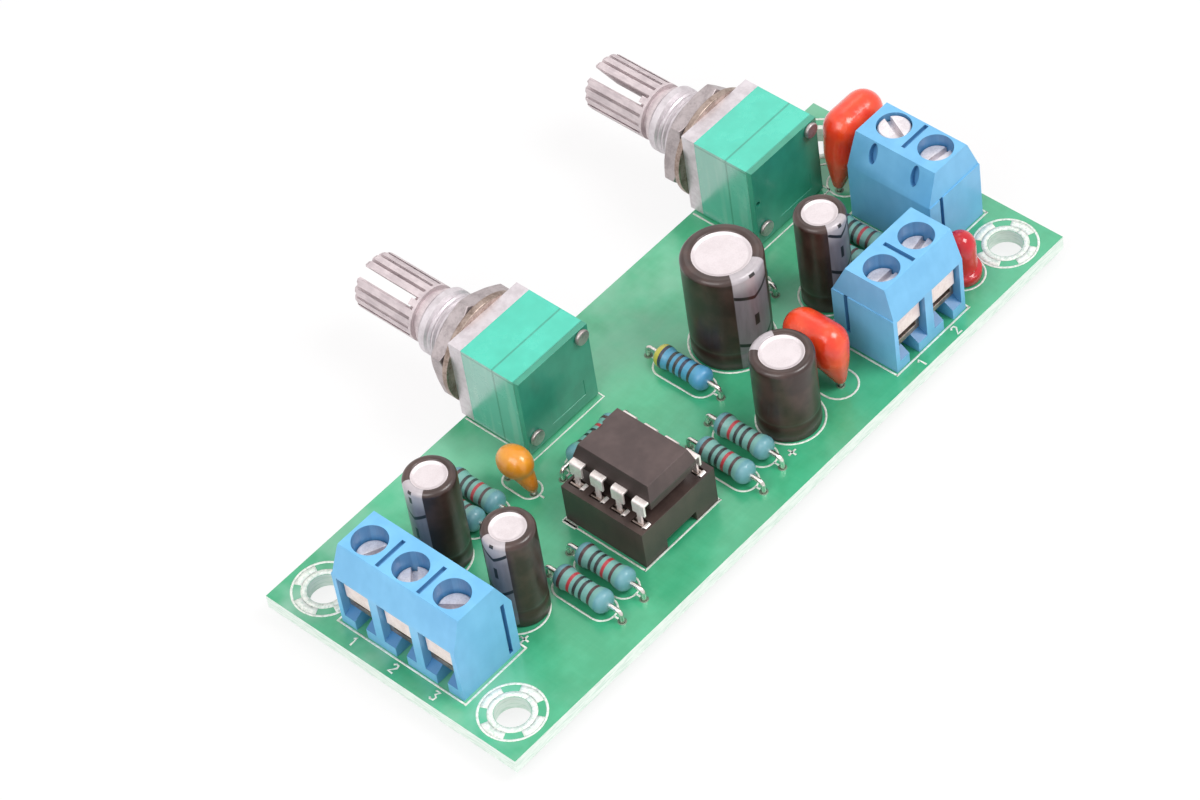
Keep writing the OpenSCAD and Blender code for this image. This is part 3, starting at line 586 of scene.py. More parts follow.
def dippedFinish(name, colour, shade, glow, low=0.85):
    # thick dipped resin: painted shade grows towards the legs by the share low; small pits and soft waves
    look = Finish(name, Coat_Weight=0.6, Coat_Roughness=0.12)
    z = look.parts(look.object)[2]
    wave = look.noise(2, 2, 0.5)
    pit = look.soften(look.noise(0.3, 2, 0.6), 0.66, 0.78)
    # painted shade, growing towards the legs
    paintedLegShade = 1 - look.soften(z, 2.2 * mm, 6.5 * mm)
    tone = look.blend(look.soften(wave, 0.35, 0.7), rgb(*colour), rgb(*glow))
    look.surface(Base_Color=look.blend(paintedLegShade * low, tone, rgb(*shade)), Roughness=0.2 + wave * 0.12,
                 Normal=look.bump(wave - pit * 0.12, 0.36, 0.6))
    return look


def inkFinish():
    look = Finish("legendInk")
    worn = look.noise(0.25, 3, 0.6)
    look.surface(Base_Color=look.blend(look.soften(worn, 0.3, 0.6), rgb(206, 222, 208), rgb(246, 248, 240)),
                 Roughness=0.45 + worn * 0.15, Normal=look.bump(worn, 0.01, 0.6))
    return look


def lensFinish():
    look = Finish("lensResin", Transmission_Weight=0.12, IOR=1.5, Coat_Weight=0.4, Coat_Roughness=0.03)
    cloud = look.noise(0.9, 2, 0.5)
    look.surface(Base_Color=look.blend(cloud, rgb(208, 2, 28), rgb(228, 18, 38)), Roughness=0.08 + cloud * 0.06,
                 Normal=look.bump(cloud, 0.02, 0.4))
    return look


control = {"axis": 5.1, "plate": 31.6, "threadStart": 2.5, "threadEnd": 4.95, "collar": 5.2, "bushing": 3.5,
           "root": 3.22, "pitch": 0.5, "ridge": 0.46, "facets": 32, "knurlFoot": (2.6, 2.85), "knurlWear": 1.05}
edges = {"plate": 0.12, "washer": 0.12, "nut": 0.07, "shaft": 0.06, "case": 0.1, "cover": 0.1, "rivet": 0.14,
         "pin": 0.05, "chip": 0.2, "leg": 0.05, "socket": 0.14, "contact": 0.05, "can": 0.05}
caseSeams = (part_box("volume_front_case")[0].y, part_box("volume_rear_case")[0].y)
finishes = {
    "board": boardFinish(),
    "ink": inkFinish(),
    "trace": plastic("maskOverCopper", (92, 190, 142), (74, 176, 126), 0.3, Coat_Weight=0.5),
    "solder": solderFinish(),
    "housing": housingFinish(),
    "tinned": metal("tinnedBrass", (254, 246, 242), (236, 224, 220), 0.36, metallic=0.5),
    # painted shade: a darker copy of the contact metal for the cages and socket contacts that sit inside their
    # mouldings
    "cage": metal("shadedCageMetal", (176, 160, 152), (128, 112, 104), 0.34, metallic=0.85),
    "leaf": metal("clampLeaf", (254, 238, 234), (238, 218, 214), 0.42, metallic=0.35),
    "screw": metal("screwSteel", (240, 233, 236), (212, 204, 208), 0.32, size=0.18, metallic=0.4),
    "cast": metal("dieCast", (222, 215, 219), (203, 195, 199), 0.46, size=0.5, depth=0.012, metallic=0.7),
    "plated": metal("platedSteel", (190, 180, 181), (162, 152, 153), 0.44, metallic=0.8),
    "washer": metal("washerSteel", (182, 164, 154), (136, 118, 108), 0.36),
    "shaft": metal("shaftAluminium", (220, 207, 209), (196, 183, 186), 0.56, (1, 0.14, 1), 0.22, metallic=0.35),
    "case": caseFinish("tealCase", (66, 206, 180), (56, 194, 168), caseSeams),
    "cover": plastic("tealCover", (56, 160, 132), (46, 144, 118), 0.3, Coat_Weight=0.4, Coat_Roughness=0.16),
    "rivet": metal("rivetSteel", (196, 186, 184), (160, 152, 150), 0.42, metallic=0.85),
    "wafer": plastic("waferBoard", (132, 84, 48), (104, 62, 34), 0.5),
    "rotor": plastic("rotorResin", (226, 220, 200), (206, 198, 176), 0.4),
    "chip": chipFinish(),
    "socket": plastic("socketMould", (76, 61, 56), (58, 45, 42), 0.4),
    "sleeve": sleeveFinish("sleeveFilm", 2.0, 4.0, 4.9),
    "can": metal("canAluminium", (231, 222, 224), (221, 211, 213), 0.42, size=0.12, metallic=0.8),
    "bung": plastic("bungRubber", (38, 36, 36), (26, 24, 24), 0.6),
    "film": dippedFinish("filmResin", (240, 58, 24), (176, 46, 22), (250, 82, 38), 0.6),
    "ceramic": dippedFinish("ceramicResin", (236, 148, 34), (196, 100, 22), (246, 170, 56)),
    "lens": lensFinish(),
    "lead": metal("tinnedLead", (244, 240, 234), (214, 208, 202), 0.24),
}
print("materials made:", len(finishes))


def nodeFinish(node):
    words = (
        ("circuit_board", "board"), ("solder_joints", "solder"), ("_block", "housing"), ("_leaf", "leaf"),
        ("_screw", "screw"), ("front_plate", "cast"), ("washer", "washer"), ("nut", "plated"), ("shaft", "shaft"),
        ("case", "case"), ("back_cover", "cover"), ("rivets", "rivet"), ("wafers", "wafer"), ("rotors", "rotor"),
        ("chip_leads", "tinned"), ("chip_socket", "socket"), ("amplifier_chip", "chip"), ("sleeve", "sleeve"),
        ("cans", "can"), ("bungs", "bung"), ("film", "film"), ("ceramic", "ceramic"), ("lens", "lens"),
        ("leads", "lead"), ("resistor", "lead"))
    for word, finish in words:
        if word in node:
            return finishes[finish]
    return finishes["tinned"]


for nodeName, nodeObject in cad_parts.items():
    nodeObject.data.materials.clear()
    nodeObject.data.materials.append(nodeFinish(nodeName).material)
print("nodes dressed")


# rings are (radius, width); spokes are (radius, width, half angle)
legend = {"line": 0.2, "height": 0.03, "digitWidth": 0.6, "holeInset": 3.9, "outerRing": (3.17, 0.24),
          "innerRing": (2.03, 0.58), "spokes": (2.68, 0.78, 27), "plus": 0.5}
indicatorPlace = (68.6, 4.75)
# u, v and turn of each resistor
resistorPlaces = ((17.45, 7.4, 90), (20.55, 7.5, 90), (36.65, 7, 90), (39.9, 7.5, 90), (43, 17.7, 90),
                  (20.1, 23.2, 90), (17.5, 23.35, 90), (31.25, 18.45, 0), (66, 15, 90), (63.2, 15, 90),
                  (56, 22, 90))
# strokes of the pole numbers, drawn in a box one millimetre high
digits = {1: [(0.1, 0.75), (0.35, 1), (0.35, 0)],
          2: [(0, 0.8), (0.2, 1), (0.5, 0.95), (0.55, 0.65), (0, 0), (0.6, 0)],
          3: [(0, 1), (0.55, 1), (0.25, 0.6), (0.55, 0.4), (0.5, 0.05), (0.15, 0), (0, 0.15)]}


def legendLines():
    lines = []   # each line is (points, width)
    thin = legend["line"]

    def box(u0, v0, u1, v1):
        over = thin / 2
        for side in ([(u0 - over, v0), (u1 + over, v0)], [(u0 - over, v1), (u1 + over, v1)],
                     [(u0, v0), (u0, v1)], [(u1, v0), (u1, v1)]):
            lines.append((side, thin))

    def ring(u, v, radius, width=thin):
        lines.append((arc(u, v, radius, 0, 360, 48), width))

    def capsule(u0, v0, u1, v1, radius, tick=0.0):
        # round-ended outline between two centres, with a tick at each end
        angle = math.degrees(math.atan2(v1 - v0, u1 - u0))
        outline = arc(u1, v1, radius, angle - 90, angle + 90, 12)
        outline += arc(u0, v0, radius, angle + 90, angle + 270, 12)
        lines.append((outline + outline[:1], thin))
        if tick:
            du, dv = math.cos(math.radians(angle)), math.sin(math.radians(angle))
            for cu, cv, way in ((u0, v0, -1), (u1, v1, 1)):
                near, far = way * radius, way * (radius + tick)
                lines.append(([(cu + du * near, cv + dv * near), (cu + du * far, cv + dv * far)], thin))

    inset = legend["holeInset"]
    radius, width, spread = legend["spokes"]
    for u in (inset, boardLength - inset):
        for v in (inset, boardWidth - inset):
            ring(u, v, *legend["outerRing"])
            ring(u, v, *legend["innerRing"])
            for middle in (0, 90, 180, 270):
                lines.append((arc(u, v, radius, middle - spread, middle + spread, 10), width))
    # the three terminal blocks, the chip with its thick corner, and the two controls
    for corners in ((1.95, 7.8, 9.95, 23.8), (68.2, 7.9, 76.25, 18.5), (54.9, 1.55, 65.6, 9.45),
                    (23.1, 5.05, 33.5, 15.1)):
        box(*corners)
    lines.append(([(23.1, 15.1), (23.1, 13.5)], 0.55))
    for u0, u1 in ((26.8, 36.6), (59.5, 69.75)):
        lines.append(([(u0, 31), (u0, 22.2), (u1, 22.2), (u1, 31)], thin))
    for u, v, radius in ((12.85, 11.35, 2.9), (13.1, 21.2, 2.9), (49.24, 17.05, 4.25), (45.0, 6.25, 3.3),
                         (59.1, 13.5, 2.85), (*indicatorPlace, 2.2)):
        ring(u, v, radius)
    for u, v, turn in resistorPlaces:
        du, dv = (0, 2.15) if turn else (2.15, 0)
        capsule(u - du, v - dv, u + du, v + dv, 1.4, 0.55)
    capsule(50.85, 5.35, 50.85, 9.85, 1.92)
    capsule(71.45, 21.5, 74.2, 21.5, 1.9)
    capsule(23.95, 20.1, 23.95, 22.1, 1.15, 0.6)
    arm = legend["plus"]
    for u, v in ((10.6, 8.6), (11.2, 18.4), (53.6, 13.4), (41.8, 3.4), (56.4, 10.9)):
        lines.append(([(u - arm, v), (u + arm, v)], thin))
        lines.append(([(u, v - arm), (u, v + arm)], thin))
    for digit, u, v, turn in ((3, 0.55, 10.75, -90), (2, 0.55, 15.85, -90), (1, 0.55, 20.95, -90),
                              (1, 57.55, 0.25, 0), (2, 62.6, 0.25, 0), (1, 76.75, 10.4, 90), (2, 76.75, 15.5, 90)):
        cos, sin = math.cos(math.radians(turn)), math.sin(math.radians(turn))
        points = []
        for px, py in digits[digit]:
            px -= legend["digitWidth"] / 2
            points.append((u + px * cos - py * sin, v + px * sin + py * cos))
        lines.append((points, thin))
    return lines


def printLegend():
    ink = ribbons("legendPrint", legendLines(), legend["height"])
    seat(ink, 0, 0)
    settle(ink, finishes["ink"], "board")


printLegend()
print("legend printed")


terminal = {"edge": 0.13, "cageEdge": 0.06, "screwEdge": 0.07, "leafEdge": 0.06, "headHeight": 1.5,
            "seatGap": 0.02}


def clampScrew(node, name):
    # the head's underside stays a hair off the cage when the screw is all the way down
    piece = cadCopy(node, name)
    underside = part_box(node)[1].z / mm - terminal["headHeight"]
    choose(piece, "VERT", lambda place, normal: abs(place.z - underside) < 0.01)
    bpy.ops.transform.translate(value=(0, 0, terminal["seatGap"]))
    leaveEdit()
    roundOff(piece, terminal["screwEdge"], finishes["screw"], "screw_steel", node, body=node)


for block, poles in (("input", 3), ("power", 2), ("output", 2)):
    roundedCopy(block + "_block", block + "Housing", finishes["housing"], "blue_housing", terminal["edge"],
                recesses=True)
    roundedCopy(block + "_contacts", block + "Cages", finishes["cage"], "tinned_metal",
                terminal["cageEdge"])
    for pole in range(1, poles + 1):
        clampScrew(f"{block}_screw_{pole}", f"{block}Screw{pole}")
        roundedCopy(f"{block}_leaf_{pole}", f"{block}Leaf{pole}", finishes["leaf"], "tinned_metal",
                    terminal["leafEdge"], body=f"{block}_leaf_{pole}")
print("terminal blocks rounded")


controlPlaces = {"volume": 31.7, "filter": 64.65}


def frontPlate(name, u):
    piece = cadCopy(name + "_front_plate", name + "Plate")
    cx, cz, y0 = u - boardLength / 2, control["axis"] + boardTop, control["plate"] - boardWidth / 2
    for cut in (control["threadEnd"], control["collar"]):
        choose(piece, "FACE", lambda place, normal: place.y > y0 + 2)
        bpy.ops.mesh.bisect(plane_co=(0, y0 + cut, 0), plane_no=(0, 1, 0))

    def onThread(place, normal):
        away = math.hypot(place.x - cx, place.z - cz)
        start, end = y0 + control["threadStart"] - 0.1, y0 + control["threadEnd"] + 0.01
        return away > control["bushing"] - 0.1 and start < place.y < end
    choose(piece, "VERT", onThread)
    share = control["root"] / control["bushing"]
    bpy.ops.transform.resize(value=(share, 1, share), center_override=(cx, 0, cz))
    leaveEdit()
    roundOff(piece, edges["plate"], finishes["cast"], "die_cast", name + "_front_plate")
    # the thread is one ridge drawn along a helix
    turns = (control["threadEnd"] - control["threadStart"]) / control["pitch"]
    path = []
    for i in range(int(turns * control["facets"]) + 1):
        turn = i / control["facets"]
        angle = 2 * math.pi * turn
        path.append((control["root"] * math.cos(angle), control["threadStart"] + control["pitch"] * turn,
                     control["root"] * math.sin(angle)))
    thread = wires(name + "Thread", [path], control["ridge"], 1)
    smooth(thread, 50)
    bake(thread, mm, (cx * mm, y0 * mm, cz * mm))
    settle(thread, finishes["cast"], "die_cast")


def shaft(name, u):
    # the knurl's grooves are worn shallow
    piece = cadCopy(name + "_shaft", name + "Shaft")
    cx, cz = u - boardLength / 2, control["axis"] + boardTop
    low, high = control["knurlFoot"]
    choose(piece, "VERT", lambda place, normal: low < math.hypot(place.x - cx, place.z - cz) < high)
    bpy.ops.transform.resize(value=(control["knurlWear"], 1, control["knurlWear"]), center_override=(cx, 0, cz))
    leaveEdit()
    roundOff(piece, edges["shaft"], finishes["shaft"], "shaft_metal", name + "_shaft", body=name + "_shaft")


cover = {"behind": 8.85, "panel": (4.6, 0.12, 2.0), "panelAt": (0.9, 2.5), "pinHole": 0.28, "pinAt": (-4.3, 5.6)}


def backCover(name, u, pinHole):
    # a shallow sunk panel at the foot of the cover; one cover has a pin hole at its edge
    piece = cadCopy(name + "_back_cover", name + "BackCover")
    cx = u - boardLength / 2
    back = control["plate"] - boardWidth / 2 - cover["behind"]
    across, level = cover["panelAt"]
    deselect()
    bpy.ops.mesh.primitive_cube_add(size=1, location=(cx + across, back, level + boardTop))
    panel = bpy.context.object
    panel.scale = cover["panel"]
    bpy.ops.object.transform_apply(location=True, scale=True)
    carve(piece, panel)
    if pinHole:
        across, level = cover["pinAt"]
        carve(piece, rod(cover["pinHole"], 0.9, (cx + across, back, level + boardTop), (0, 1, 0), 24))
    roundOff(piece, edges["cover"], finishes["cover"], "teal_cover", name + "_back_cover")


for name, u in controlPlaces.items():
    frontPlate(name, u)
    roundedCopy(name + "_washer", name + "Washer", finishes["washer"], "washer_steel", edges["washer"])
    roundedCopy(name + "_nut", name + "Nut", finishes["plated"], "plated_steel", edges["nut"])
    shaft(name, u)
    roundedCopy(name + "_front_case", name + "FrontCase", finishes["case"], "teal_case", edges["case"])
    roundedCopy(name + "_rear_case", name + "RearCase", finishes["case"], "teal_case", edges["case"])
    backCover(name, u, name == "filter")
    roundedCopy(name + "_rivets", name + "Rivets", finishes["rivet"], "rivet_metal", edges["rivet"])
roundedCopy("control_pins", "controlPins", finishes["tinned"], "tinned_metal", edges["pin"])
print("controls made")


chip = {"u": 28.4, "v": 10.1, "row": 7.62, "pitch": 2.54, "top": 4.6, "bend": 0.32, "lip": 0.66,
        "lipWidth": 0.95, "lipSheet": 0.12}


def chipLegs():
    # the sheet metal turns down in a soft bend at each shoulder
    piece = cadCopy("chip_leads", "chipLegs")
    middle = chip["u"] - boardLength / 2
    crown = max(vertex.co.z for vertex in piece.data.vertices)

    def onBend(place, along):
        away = abs(place.x - middle)
        return abs(along.y) > 0.99 and place.z > crown - 0.05 and away > chip["row"] / 2 - 0.2
    choose(piece, "EDGE", onBend)
    bpy.ops.mesh.bevel(offset=chip["bend"], segments=4, affect="EDGES")
    leaveEdit()
    roundOff(piece, edges["leg"], finishes["tinned"], "tinned_metal", "chip_leads", angle=50)


def contactLips():
    # the outer leaf of each contact flares out of its slot beside the lead
    deselect()
    bpy.ops.mesh.primitive_plane_add(size=1, location=(0, 0, 0))
    master = bpy.context.object
    editAll(master)
    bpy.ops.transform.resize(value=(chip["lipWidth"], chip["lip"], 1))
    bpy.ops.mesh.subdivide(number_cuts=2)
    leaveEdit()
    for row, rise in enumerate((-0.3, 0.0, 0.1, 0.03)):
        level = chip["lip"] * (row / 3 - 0.5)
        choose(master, "VERT", lambda place, normal: abs(place.y - level) < 0.01)
        bpy.ops.transform.translate(value=(0, 0, rise))
        bpy.ops.transform.resize(value=(1 - 0.08 * row, 1, 1))
        leaveEdit()
    modify(master, "SOLIDIFY", thickness=chip["lipSheet"], offset=-1)
    modify(master, "BEVEL", width=chip["lipSheet"] / 3, segments=2)
    smooth(master, 50)
    lips = []
    for side in (-1, 1):
        for pin in range(4):
            lip = twin(master, "lipCopy")
            seat(lip, chip["u"] + side * chip["row"] / 2,
                 chip["v"] + (pin - 1.5) * chip["pitch"] - 0.3 - chip["lip"] / 2, chip["top"], 180)
            lips.append(lip)
    drop(master)
    settle(joined(lips, "contactLips"), finishes["tinned"], "tinned_metal")


roundedCopy("amplifier_chip", "chipBody", finishes["chip"], "chip", edges["chip"], segments=3)
chipLegs()
roundedCopy("chip_socket", "socketBody", finishes["socket"], "socket", edges["socket"])
roundedCopy("socket_contacts", "socketContacts", finishes["cage"], "tinned_metal", edges["contact"])
contactLips()
print("chip made")


# u, v, diameter, height, turn of the stripe, width of the lip, and its marks: chevron, bar, period
canPlaces = ((13.4, 11.3, 5.1, 11.3, 186, 0.8, (2.1, 3.95, 4.9)),
             (13.6, 21.15, 5.1, 11.3, 177, 0.8, (3.8, 5.9, 4.9)),
             (49.24, 17.05, 8, 12, -94, 1.12, (3.2, 6.2, 6.4)),
             (44.9, 6.35, 6.2, 9.3, 90, 0.92, (2.4, 4.4, 5.2)),
             (59.1, 13.5, 5.1, 11.3, -92, 0.8, (1.7, 3.75, 4.9)))
canShape = {"bead": 2.0, "beadDepth": 0.07, "rim": 0.5, "ringStep": 0.55, "film": 0.1}


def sleeve(number, u, v, across, height, turn, lip, marks):
    radius = across / 2
    bead, depth, rim = canShape["bead"], canShape["beadDepth"], canShape["rim"]
    outline = [(radius - 0.35, 0.05), (radius - 0.1, 0.0), (radius, 0.12), (radius, bead - 0.45)]
    outline += [(radius - depth * share, bead + place) for place, share in
                ((-0.3, 0.35), (-0.15, 0.85), (0, 1), (0.15, 0.85), (0.3, 0.35), (0.45, 0))]
    level = bead + 1
    while level < height - rim - canShape["ringStep"]:
        outline.append((radius, level))
        level += canShape["ringStep"]
    outline += arc(radius - rim, height - rim, rim, 0, 90, 8)
    outline += [(radius - lip + 0.12, height - 0.01), (radius - lip, height - 0.07),
                (radius - lip - 0.02, height - 0.17)]
    piece = turned(f"capacitorSleeve{number}", outline, 64)
    # the film is open over the can's top and under its base
    choose(piece, "FACE", lambda place, normal: math.hypot(place.x, place.y) < 0.1)
    bpy.ops.mesh.delete(type="FACE")
    leaveEdit()
    modify(piece, "SOLIDIFY", thickness=canShape["film"], offset=-1)
    remember(piece, height)
    smooth(piece, 60)
    seat(piece, u, v, 0, turn)
    settle(piece, sleeveFinish(f"sleeveFilm{number}", *marks), "sleeve", f"capacitor_sleeve_{number}")


for number, place in enumerate(canPlaces, 1):
    sleeve(number, *place)


def canTops():
    tops = []
    for number, (u, v, across, height, turn, lip, marks) in enumerate(canPlaces, 1):
        edge = across / 2 - lip
        outline = [(edge + 0.06, height - 0.4), (edge + 0.06, height - 0.13), (edge - 0.06, height - 0.1),
                   (edge - 0.16, height - 0.14), (edge - 0.24, height - 0.24), (edge - 0.45, height - 0.25),
                   (edge * 0.5, height - 0.23), (edge * 0.1, height - 0.22)]
        top = turned(f"canTop{number}", outline, 48)
        smooth(top, 60)
        seat(top, u, v)
        tops.append(top)
    settle(joined(tops, "canTops"), finishes["can"], "can")


canTops()
print("capacitors made")


def dipped(node, name, finish, slot, voxel):
    # remeshed and smoothed, so the resin runs over the edges in one skin
    piece = cadCopy(node, name)
    modify(piece, "REMESH", mode="VOXEL", voxel_size=voxel)
    modify(piece, "SMOOTH", factor=0.6, iterations=14)
    bake(piece, mm)
    smooth(piece, 80)
    settle(piece, finish, slot, node)


dipped("film_capacitor_1", "filmLow", finishes["film"], "film_coat", 0.16)
dipped("film_capacitor_2", "filmTall", finishes["film"], "film_coat", 0.16)
dipped("ceramic_capacitor", "ceramicDrop", finishes["ceramic"], "ceramic_coat", 0.11)
print("dipped capacitors made")


resistor = {"length": 6.3, "cap": 1.2, "waist": 1.04, "crown": 0.72, "pitch": 9.1, "axis": 1.3, "bend": 0.5,
            "bandHalf": 0.18, "bands": (2.1, 1.08, 0.34, -0.42, -1.42)}
brown, black, red = (72, 26, 34), (14, 13, 22), (186, 24, 44)
navy, umber, lime = (12, 26, 66), (34, 18, 28), (206, 196, 60)


def bandSet(*colours):
    # from the +v end to the -v end; the last band stands apart
    return [(place, resistor["bandHalf"], colour) for place, colour in zip(resistor["bands"], colours)]


resistorFinishes = {
    "a": resistorFinish("resistorBandsA", bandSet(brown, red, black, black, brown)),
    "b": resistorFinish("resistorBandsB", bandSet(brown, black, black, red, brown)),
    "c": resistorFinish("resistorBandsC", bandSet(navy, black, umber, navy, umber),
                        ((70, 156, 196), (74, 158, 206)), lime),
}
resistorKinds = "abbacbbabba"


def resistorBody():
    # a dome, the cap, a shoulder and the waist; the other half is its mirror image
    half, cap, waist, crown = resistor["length"] / 2, resistor["cap"], resistor["waist"], resistor["crown"]
    outline = [(0.3, -half), (0.42, -half + 0.02)]
    outline += arc(cap - crown, -half + crown + 0.04, crown, -84, 0, 7)[1:]
    outline += [(cap, -half + 0.95), (cap - 0.02, -half + 1.2), (waist + 0.04, -half + 1.55), (waist, -half + 1.8)]
    outline += [(waist, -0.5), (waist, 0.5)]
    outline += [(radius, -z) for radius, z in reversed(outline[:-2])]
    piece = turned("resistorMaster", outline, 32)
    editAll(piece)
    bpy.ops.transform.rotate(value=math.radians(-90), orient_axis="Y", center_override=(0, 0, 0))
    leaveEdit()
    remember(piece)
    smooth(piece, 60)
    return piece


def placeResistors():
    master = resistorBody()
    for number, ((u, v, turn), kind) in enumerate(zip(resistorPlaces, resistorKinds), 1):
        piece = twin(master, f"resistorBody{number}")
        seat(piece, u, v, resistor["axis"], turn)
        settle(piece, resistorFinishes[kind], "resistor", *(["resistor_bodies"] if number == 1 else []))
    drop(master)


leadWire = {"thickness": 0.5, "below": 3.0, "blunt": 0.05}


def leadEnd(x):
    # the cut end under the board, slightly rounded
    return [(x, 0, leadWire["blunt"] - leadWire["below"]), (x, 0, -leadWire["below"], 0.8)]


def bentLeads():
    # out of the body, round the bend and down through the board
    reach, axis, bend = resistor["pitch"] / 2, resistor["axis"], resistor["bend"]
    side = [(resistor["length"] / 2 - 0.2, 0, axis), (reach - bend, 0, axis)]
    side += [(x, 0, z) for x, z in arc(reach - bend, axis - bend, bend, 90, 0, 7)[1:]]
    side += [(reach, 0, -0.4), *leadEnd(reach)]
    master = wires("resistorLead", [side], leadWire["thickness"])
    leads = []
    for u, v, turn in resistorPlaces:
        for flip in (0, 180):
            lead = twin(master, "leadCopy")
            seat(lead, u, v, 0, turn + flip)
            leads.append(lead)
    drop(master)
    # u, v, turn, pitch and upper end of each pair of straight leads
    straight = [(place[0], place[1], 0, pitch, 1) for place, pitch in zip(canPlaces, (2, 2, 3.5, 2.5, 2))]
    straight += [(50.85, 7.6, 90, 5.08, 2.4), (72.8, 21.4, 0, 5.08, 2.4), (23.75, 21.1, 90, 3.3, 1.5),
                 (*indicatorPlace, 90, 2.54, 1.4)]
    for u, v, turn, pitch, top in straight:
        for flip in (0, 180):
            lead = wires("leadCopy", [[(pitch / 2, 0, top), *leadEnd(pitch / 2)]], leadWire["thickness"])
            seat(lead, u, v, 0, turn + flip)
            leads.append(lead)
    piece = joined(leads, "roundLeads")
    smooth(piece, 50)
    settle(piece, finishes["lead"], "lead", "component_leads")


placeResistors()
bentLeads()
print("resistors and leads made")


def indicator():
    outline = [(1.85, 0.05), (1.9, 0.1), (1.9, 1.0), (1.84, 1.05), (1.54, 1.06), (1.5, 1.12), (1.5, 2.6),
               (1.49, 4.0)]
    outline += arc(0, 4.0, 1.49, 8, 84, 10)
    lens = turned("indicatorLens", outline, 48)
    smooth(lens, 60)
    seat(lens, *indicatorPlace)
    settle(lens, finishes["lens"], "red_lens", "indicator_lens")
    # post and cup that show dimly through the resin
    cup = turned("indicatorCup", [(0.25, 1.3), (0.25, 2.5), (0.34, 2.7), (0.62, 3.1), (0.62, 3.2), (0.5, 3.2),
                                  (0.25, 2.95)], 24)
    editAll(cup)
    bpy.ops.transform.translate(value=(-0.35, 0, 0))
    leaveEdit()
    smooth(cup, 40)
    seat(cup, *indicatorPlace, 0, 90)
    settle(cup, finishes["lead"], "lead")


indicator()
print("indicator made")


def solderCones():
    piece = cadCopy("solder_joints", "solderCones")
    smooth(piece, 70)
    bake(piece, mm)
    settle(piece, finishes["solder"], "solder", "solder_joints")


solderCones()
roundedCopy("capacitor_cans", "canBodies", finishes["can"], "can", edges["can"])

traces = {"width": 0.7, "supply": 1.3, "height": 0.03}
signalPaths = (
    ((6.2, 20.89), (6.46, 21.15), (12.6, 21.15)), ((6.2, 10.73), (6.77, 11.3), (12.4, 11.3)),
    ((14.4, 11.3), (15.05, 11.95), (17.45, 11.95), (17.55, 12.05), (20.55, 12.05), (21.23, 11.37), (24.59, 11.37)),
    ((14.6, 21.15), (16.95, 18.8), (17.5, 18.8), (17.65, 18.65), (20.1, 18.65), (20.9, 19.45), (23.75, 19.45),
     (25.7, 19.45), (26.7, 18.45), (26.7, 16.02), (24.59, 13.91)),
    ((17.5, 27.9), (17.65, 27.75), (20.1, 27.75), (20.45, 28.1), (29.2, 28.1)),
    ((23.75, 22.75), (25.2, 24.2), (29.2, 24.2)), ((31.7, 24.2), (31.7, 28.1)),
    ((34.2, 24.2), (35.8, 22.6), (35.8, 18.45), (35.8, 17.5), (32.21, 13.91)),
    ((32.21, 11.37), (32.39, 11.55), (36.65, 11.55), (37.15, 12.05), (39.9, 12.05), (41.0, 13.15), (43.0, 13.15),
     (43.0, 7.0), (43.65, 6.35)),
    ((32.21, 8.83), (34.0, 8.83), (39.88, 2.95)), ((32.21, 6.29), (32.8, 6.29), (36.64, 2.45)),
    ((24.59, 6.29), (23.9, 6.29), (20.56, 2.95)), ((24.59, 8.83), (23.4, 8.83), (17.45, 2.88)),
    ((43.0, 22.25), (47.49, 17.76), (47.49, 17.05)), ((46.15, 6.35), (47.44, 5.06), (50.85, 5.06), (51.54, 5.75),
                                                      (57.72, 5.75)),
    ((50.85, 10.14), (54.21, 13.5), (58.1, 13.5)), ((50.99, 17.05), (51.39, 17.45), (56.0, 17.45)),
    ((60.1, 13.5), (63.15, 10.45), (62.8, 10.05), (62.8, 5.75)), ((66.0, 10.45), (68.6, 7.85), (68.6, 6.02)),
    ((66.0, 19.55), (67.85, 21.4), (70.26, 21.4)), ((63.2, 19.55), (62.15, 20.6), (62.15, 24.2)),
    ((64.65, 24.2), (64.65, 28.1)), ((67.15, 24.2), (67.46, 24.2), (70.26, 21.4)),
    ((56.0, 26.55), (57.55, 28.1), (62.15, 28.1)))
supplyPaths = (
    ((71.95, 15.75), (71.95, 17.9), (75.34, 21.29)), ((71.95, 10.67), (71.73, 10.45), (66.0, 10.45)),
    ((68.6, 3.48), (65.07, 3.48), (62.8, 5.75)), ((6.2, 15.81), (9.6, 15.81), (10.3, 15.1), (22.2, 15.1)))


def coveredTraces():
    lines = [(path, traces["width"]) for path in signalPaths]
    lines += [(path, traces["supply"]) for path in supplyPaths]
    copper = ribbons("coveredTraces", lines, traces["height"])
    seat(copper, 0, 0, -boardTop - traces["height"])
    settle(copper, finishes["trace"], "board")


coveredTraces()
print("underside made")


studio = {"sky": 0.54, "backdrop": 0.96, "shadow": 0.15}
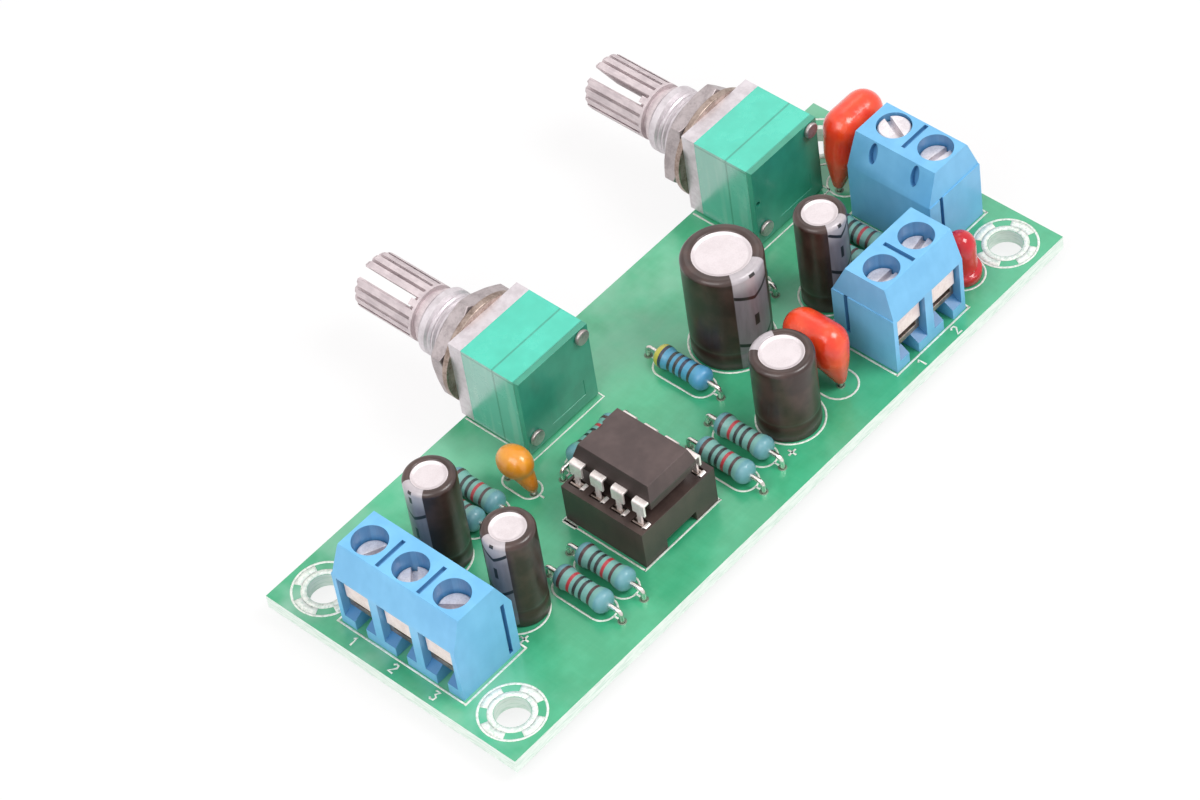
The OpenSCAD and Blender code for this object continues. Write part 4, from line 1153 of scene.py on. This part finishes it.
# place, size and power of each softbox
softboxes = {"keyLight": ((0.22, -0.34, 0.58), 0.3, 2.5), "fillLight": ((-0.21, -0.02, 0.26), 0.22, 0.46),
             "backLight": ((0.33, 0.31, 0.46), 0.18, 0.09), "topLight": ((0.03, 0.03, 0.7), 0.3, 0.2)}
view = {"lens": 130.15, "place": (-0.18128, -0.19924, 0.30499), "turn": (41.5061, 6.4454, -48.1287)}


def layFloor():
    deselect()
    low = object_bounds()[0].z
    bpy.ops.mesh.primitive_plane_add(size=6, location=(0, 0, low))
    floor = bpy.context.object
    floor.name = "floor"
    bpy.ops.object.transform_apply(location=True)
    paper = Finish("paper", Roughness=0.9)
    fibre = paper.noise(4, 3, 0.6)
    paper.surface(Base_Color=paper.blend(fibre, rgb(244, 243, 243), rgb(250, 249, 249)))
    shown = paper.white() * (1 - studio["shadow"])
    glow = paper.node("Emission", {}, {"Color": (1, 0.995, 0.995, 1), "Strength": 1.0})
    body = Wire(paper, paper.shader.outputs[0])
    both = paper.node("MixShader", {}, {0: shown, 1: body, 2: glow})
    paper.links.new(both.socket, paper.nodes["Material Output"].inputs["Surface"])
    floor.data.materials.append(paper.material)


def softbox(name, place, size, power):
    deselect()
    bpy.ops.object.light_add(type="AREA", location=place)
    lamp = bpy.context.object
    lamp.name = name
    lamp.data.shape = "SQUARE"
    lamp.data.size = size
    lamp.data.energy = power
    lamp.rotation_euler = (-Vector(place)).to_track_quat("-Z", "Y").to_euler()


def sky():
    world = bpy.data.worlds.new("studioSky")
    bpy.context.scene.world = world
    air = Finish("studioSky", world, Color=(1.0, 0.985, 0.985, 1))
    air.surface(Strength=studio["sky"] + air.white() * (studio["backdrop"] - studio["sky"]))


def photoCamera():
    data = bpy.data.cameras.new("photoCamera")
    data.sensor_width = 36
    data.lens = view["lens"]
    data.clip_start = 0.01
    camera = bpy.data.objects.new("photoCamera", data)
    bpy.context.collection.objects.link(camera)
    camera.location = view["place"]
    camera.rotation_euler = [math.radians(angle) for angle in view["turn"]]
    bpy.context.scene.camera = camera


layFloor()
for name, (place, size, power) in softboxes.items():
    softbox(name, place, size, power)
sky()
photoCamera()
bpy.context.scene.view_settings.view_transform = "Standard"
print("studio set")
